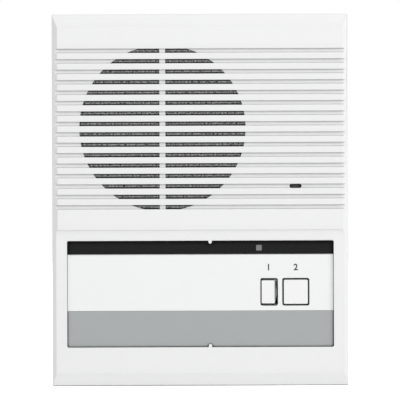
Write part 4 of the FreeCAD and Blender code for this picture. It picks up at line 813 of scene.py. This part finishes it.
def springRise():      # how far along the spring each step stands, from 0 to 1
    heights = [0.0]
    for step in range(int(springShape["turns"] * springShape["stepsPerTurn"])):
        turn = (step + 0.5) / springShape["stepsPerTurn"]
        fromEnd = min(turn, springShape["turns"] - turn)
        opened = (fromEnd - springShape["closedTurns"]) * springShape["opening"] + 0.5
        opened = min(1.0, max(0.0, opened))
        heights.append(heights[-1] + springShape["closedRise"] + (1 - springShape["closedRise"]) * opened)
    return [height / heights[-1] for height in heights]


def wireRing(shape, centre, outward, radius):
    ring = []
    for side in range(springShape["sides"]):
        angle = 2 * math.pi * side / springShape["sides"]
        offset = outward * math.cos(angle) + Vector((0.0, math.sin(angle), 0.0))
        ring.append(shape.verts.new(centre + offset * radius))
    return ring


def makeSpring(name, node):
    low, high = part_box(node)
    middle = (low + high) / 2
    wireRadius = springShape["wire"] * mm / 2
    coilRadius = (high.x - low.x) / 2 - wireRadius
    reach = high.y - low.y - 2 * wireRadius
    shape = bmesh.new()
    rings = []
    for step, height in enumerate(springRise()):
        turn = 2 * math.pi * step / springShape["stepsPerTurn"]
        outward = Vector((math.cos(turn), 0.0, math.sin(turn)))
        centre = Vector((middle.x, low.y + wireRadius + reach * height, middle.z)) + outward * coilRadius
        rings.append(wireRing(shape, centre, outward, wireRadius))
    for ring, following in zip(rings, rings[1:]):
        for side in range(springShape["sides"]):
            beside = (side + 1) % springShape["sides"]
            shape.faces.new((ring[side], ring[beside], following[beside], following[side]))
    shape.faces.new(rings[0])
    shape.faces.new(rings[-1])
    bmesh.ops.recalc_face_normals(shape, faces=shape.faces)
    mesh = meshOf(name, shape)
    mesh.shade_smooth()
    piece = addPiece(name, mesh, materials["spring_steel"])
    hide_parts(node)
    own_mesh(piece)


makeSpring("callSpringWire", "call_spring")
makeSpring("privacySpringWire", "privacy_spring")
print("key springs wound")

# plain numerals above the keys, printed on the white panel

numerals = {
    "marks": (("1", 34.5), ("2", 48.3)),      # each with its place across the case
    "level": 58.5,
    "height": 3.2,
    "fontFactor": 1.4,      # size of the type for a numeral of height 1
    "thickness": 0.03,
    "stroke": 0.1,      # how much bolder than the plain type
}
inkLook = {
    "colour": (0.03, 0.03, 0.033),
    "roughness": 0.6,
    "spread": 0.1,
    "clouds": 0.3,
    "grainSize": 0.2,
    "grainDepth": 0.004,
}


def makeNumerals():
    ink = plastic("printInk", inkLook)
    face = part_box("panel_plate")[0].y
    for text, across in numerals["marks"]:
        curve = bpy.data.curves.new(f"numeral{text}", "FONT")
        curve.body = text
        curve.align_x = "CENTER"
        curve.size = numerals["height"] * mm * numerals["fontFactor"]
        curve.extrude = numerals["thickness"] * mm / 2
        curve.offset = numerals["stroke"] * mm
        letters = bpy.data.objects.new("lettering", curve)
        scene.collection.objects.link(letters)
        mesh = bpy.data.meshes.new_from_object(letters.evaluated_get(bpy.context.evaluated_depsgraph_get()))
        bpy.data.objects.remove(letters)
        place = (across * mm, face - numerals["thickness"] * mm / 2, numerals["level"] * mm)
        addPiece(f"keyNumeral{text}", mesh, ink, place, (math.pi / 2, 0.0, 0.0))


makeNumerals()
print("numerals printed")

# floor, lamps and camera

stageLook = {
    "floorSize": 6.0,
    "floorLevel": -0.02 * mm,      # a hair lower than the case, so that no two faces share a place
    "floorColour": (0.88, 0.88, 0.88),
    "floorGlow": 0.62,      # what whitens the floor as background
    "skyColour": (1.0, 1.0, 1.0),
}


def backgroundRays(tree):      # what the camera, a gloss or a clear piece sees directly
    rays = tree.nodes.new("ShaderNodeLightPath").outputs
    shown = compute(tree, "MAXIMUM", rays["Is Camera Ray"], rays["Is Glossy Ray"])
    return compute(tree, "MAXIMUM", shown, rays["Is Transmission Ray"])


def makeFloor():
    half = stageLook["floorSize"] / 2
    shape = bmesh.new()
    corners = [(-half, -half), (half, -half), (half, half), (-half, half)]
    shape.faces.new([shape.verts.new((x, y, stageLook["floorLevel"])) for x, y in corners])
    mesh = meshOf("floor", shape)
    floor = bpy.data.objects.new("floor", mesh)
    scene.collection.objects.link(floor)
    material = bpy.data.materials.new("paleFloor")
    material.use_nodes = True
    tree = material.node_tree
    tree.nodes.clear()
    matt = tree.nodes.new("ShaderNodeBsdfDiffuse")
    matt.inputs["Color"].default_value = colourOf(stageLook["floorColour"])
    glow = tree.nodes.new("ShaderNodeEmission")
    glowing = compute(tree, "MULTIPLY", backgroundRays(tree), stageLook["floorGlow"])
    wire(tree, glowing, glow.inputs["Strength"])
    both = tree.nodes.new("ShaderNodeAddShader")
    wire(tree, matt.outputs[0], both.inputs[0])
    wire(tree, glow.outputs[0], both.inputs[1])
    below = tree.nodes.new("ShaderNodeMixShader")      # from below, the floor is see-through
    wire(tree, tree.nodes.new("ShaderNodeNewGeometry").outputs["Backfacing"], below.inputs[0])
    wire(tree, both.outputs[0], below.inputs[1])
    wire(tree, tree.nodes.new("ShaderNodeBsdfTransparent").outputs[0], below.inputs[2])
    leave = tree.nodes.new("ShaderNodeOutputMaterial")
    wire(tree, below.outputs[0], leave.inputs["Surface"])
    mesh.materials.append(material)


lights = {      # places and sizes in metres
    "sky": 0.669,
    "aim": (0.0, -0.02, 0.095),
    "key": {"place": (1.7, -1.5, 1.95), "size": 1.2, "power": 32.7},
    "front": {"place": (0.0, -1.5, 0.1), "size": 1.2, "power": 4.85},
}


def makeSky():
    world = bpy.data.worlds.new("studio")
    scene.world = world
    world.use_nodes = True
    tree = world.node_tree
    tree.nodes.clear()
    seen = tree.nodes.new("ShaderNodeBackground")
    seen.inputs["Color"].default_value = colourOf(stageLook["skyColour"])
    lit = tree.nodes.new("ShaderNodeBackground")
    lit.inputs["Color"].default_value = colourOf(stageLook["skyColour"])
    lit.inputs["Strength"].default_value = lights["sky"]
    either = tree.nodes.new("ShaderNodeMixShader")
    wire(tree, backgroundRays(tree), either.inputs[0])
    wire(tree, lit.outputs[0], either.inputs[1])
    wire(tree, seen.outputs[0], either.inputs[2])
    leave = tree.nodes.new("ShaderNodeOutputWorld")
    wire(tree, either.outputs[0], leave.inputs["Surface"])


def makeLamp(name, values):
    lamp = bpy.data.lights.new(name, "AREA")
    lamp.shape = "DISK"
    lamp.size = values["size"]
    lamp.energy = values["power"]
    holder = bpy.data.objects.new(name, lamp)
    holder.location = values["place"]
    aim = Vector(lights["aim"]) - holder.location
    holder.rotation_euler = aim.to_track_quat("-Z", "Y").to_euler()
    scene.collection.objects.link(holder)


cameraSetup = {
    "distance": 1.5,
    "frameWidth": 0.20272,      # what the view spans at that distance
    "sightDepth": -0.0188,      # depth in the case that the distance is measured to
    "across": -0.0001,
    "level": 0.09416,
    "roll": 0.2,
    "sensor": 36.0,
    "nearest": 0.01,
}


def makeCamera():
    camera = bpy.data.cameras.new("camera")
    camera.sensor_width = cameraSetup["sensor"]
    camera.lens = cameraSetup["sensor"] * cameraSetup["distance"] / cameraSetup["frameWidth"]
    camera.clip_start = cameraSetup["nearest"]
    depth = cameraSetup["sightDepth"] - cameraSetup["distance"]
    holder = bpy.data.objects.new("camera", camera)
    holder.location = (cameraSetup["across"], depth, cameraSetup["level"])
    holder.rotation_euler = (math.pi / 2, math.radians(cameraSetup["roll"]), 0.0)
    scene.collection.objects.link(holder)
    scene.camera = holder


makeFloor()
makeSky()
for name in ("key", "front"):
    makeLamp(name + "Lamp", lights[name])
makeCamera()
scene.view_settings.view_transform = "Standard"
print("floor, lamps and camera set")
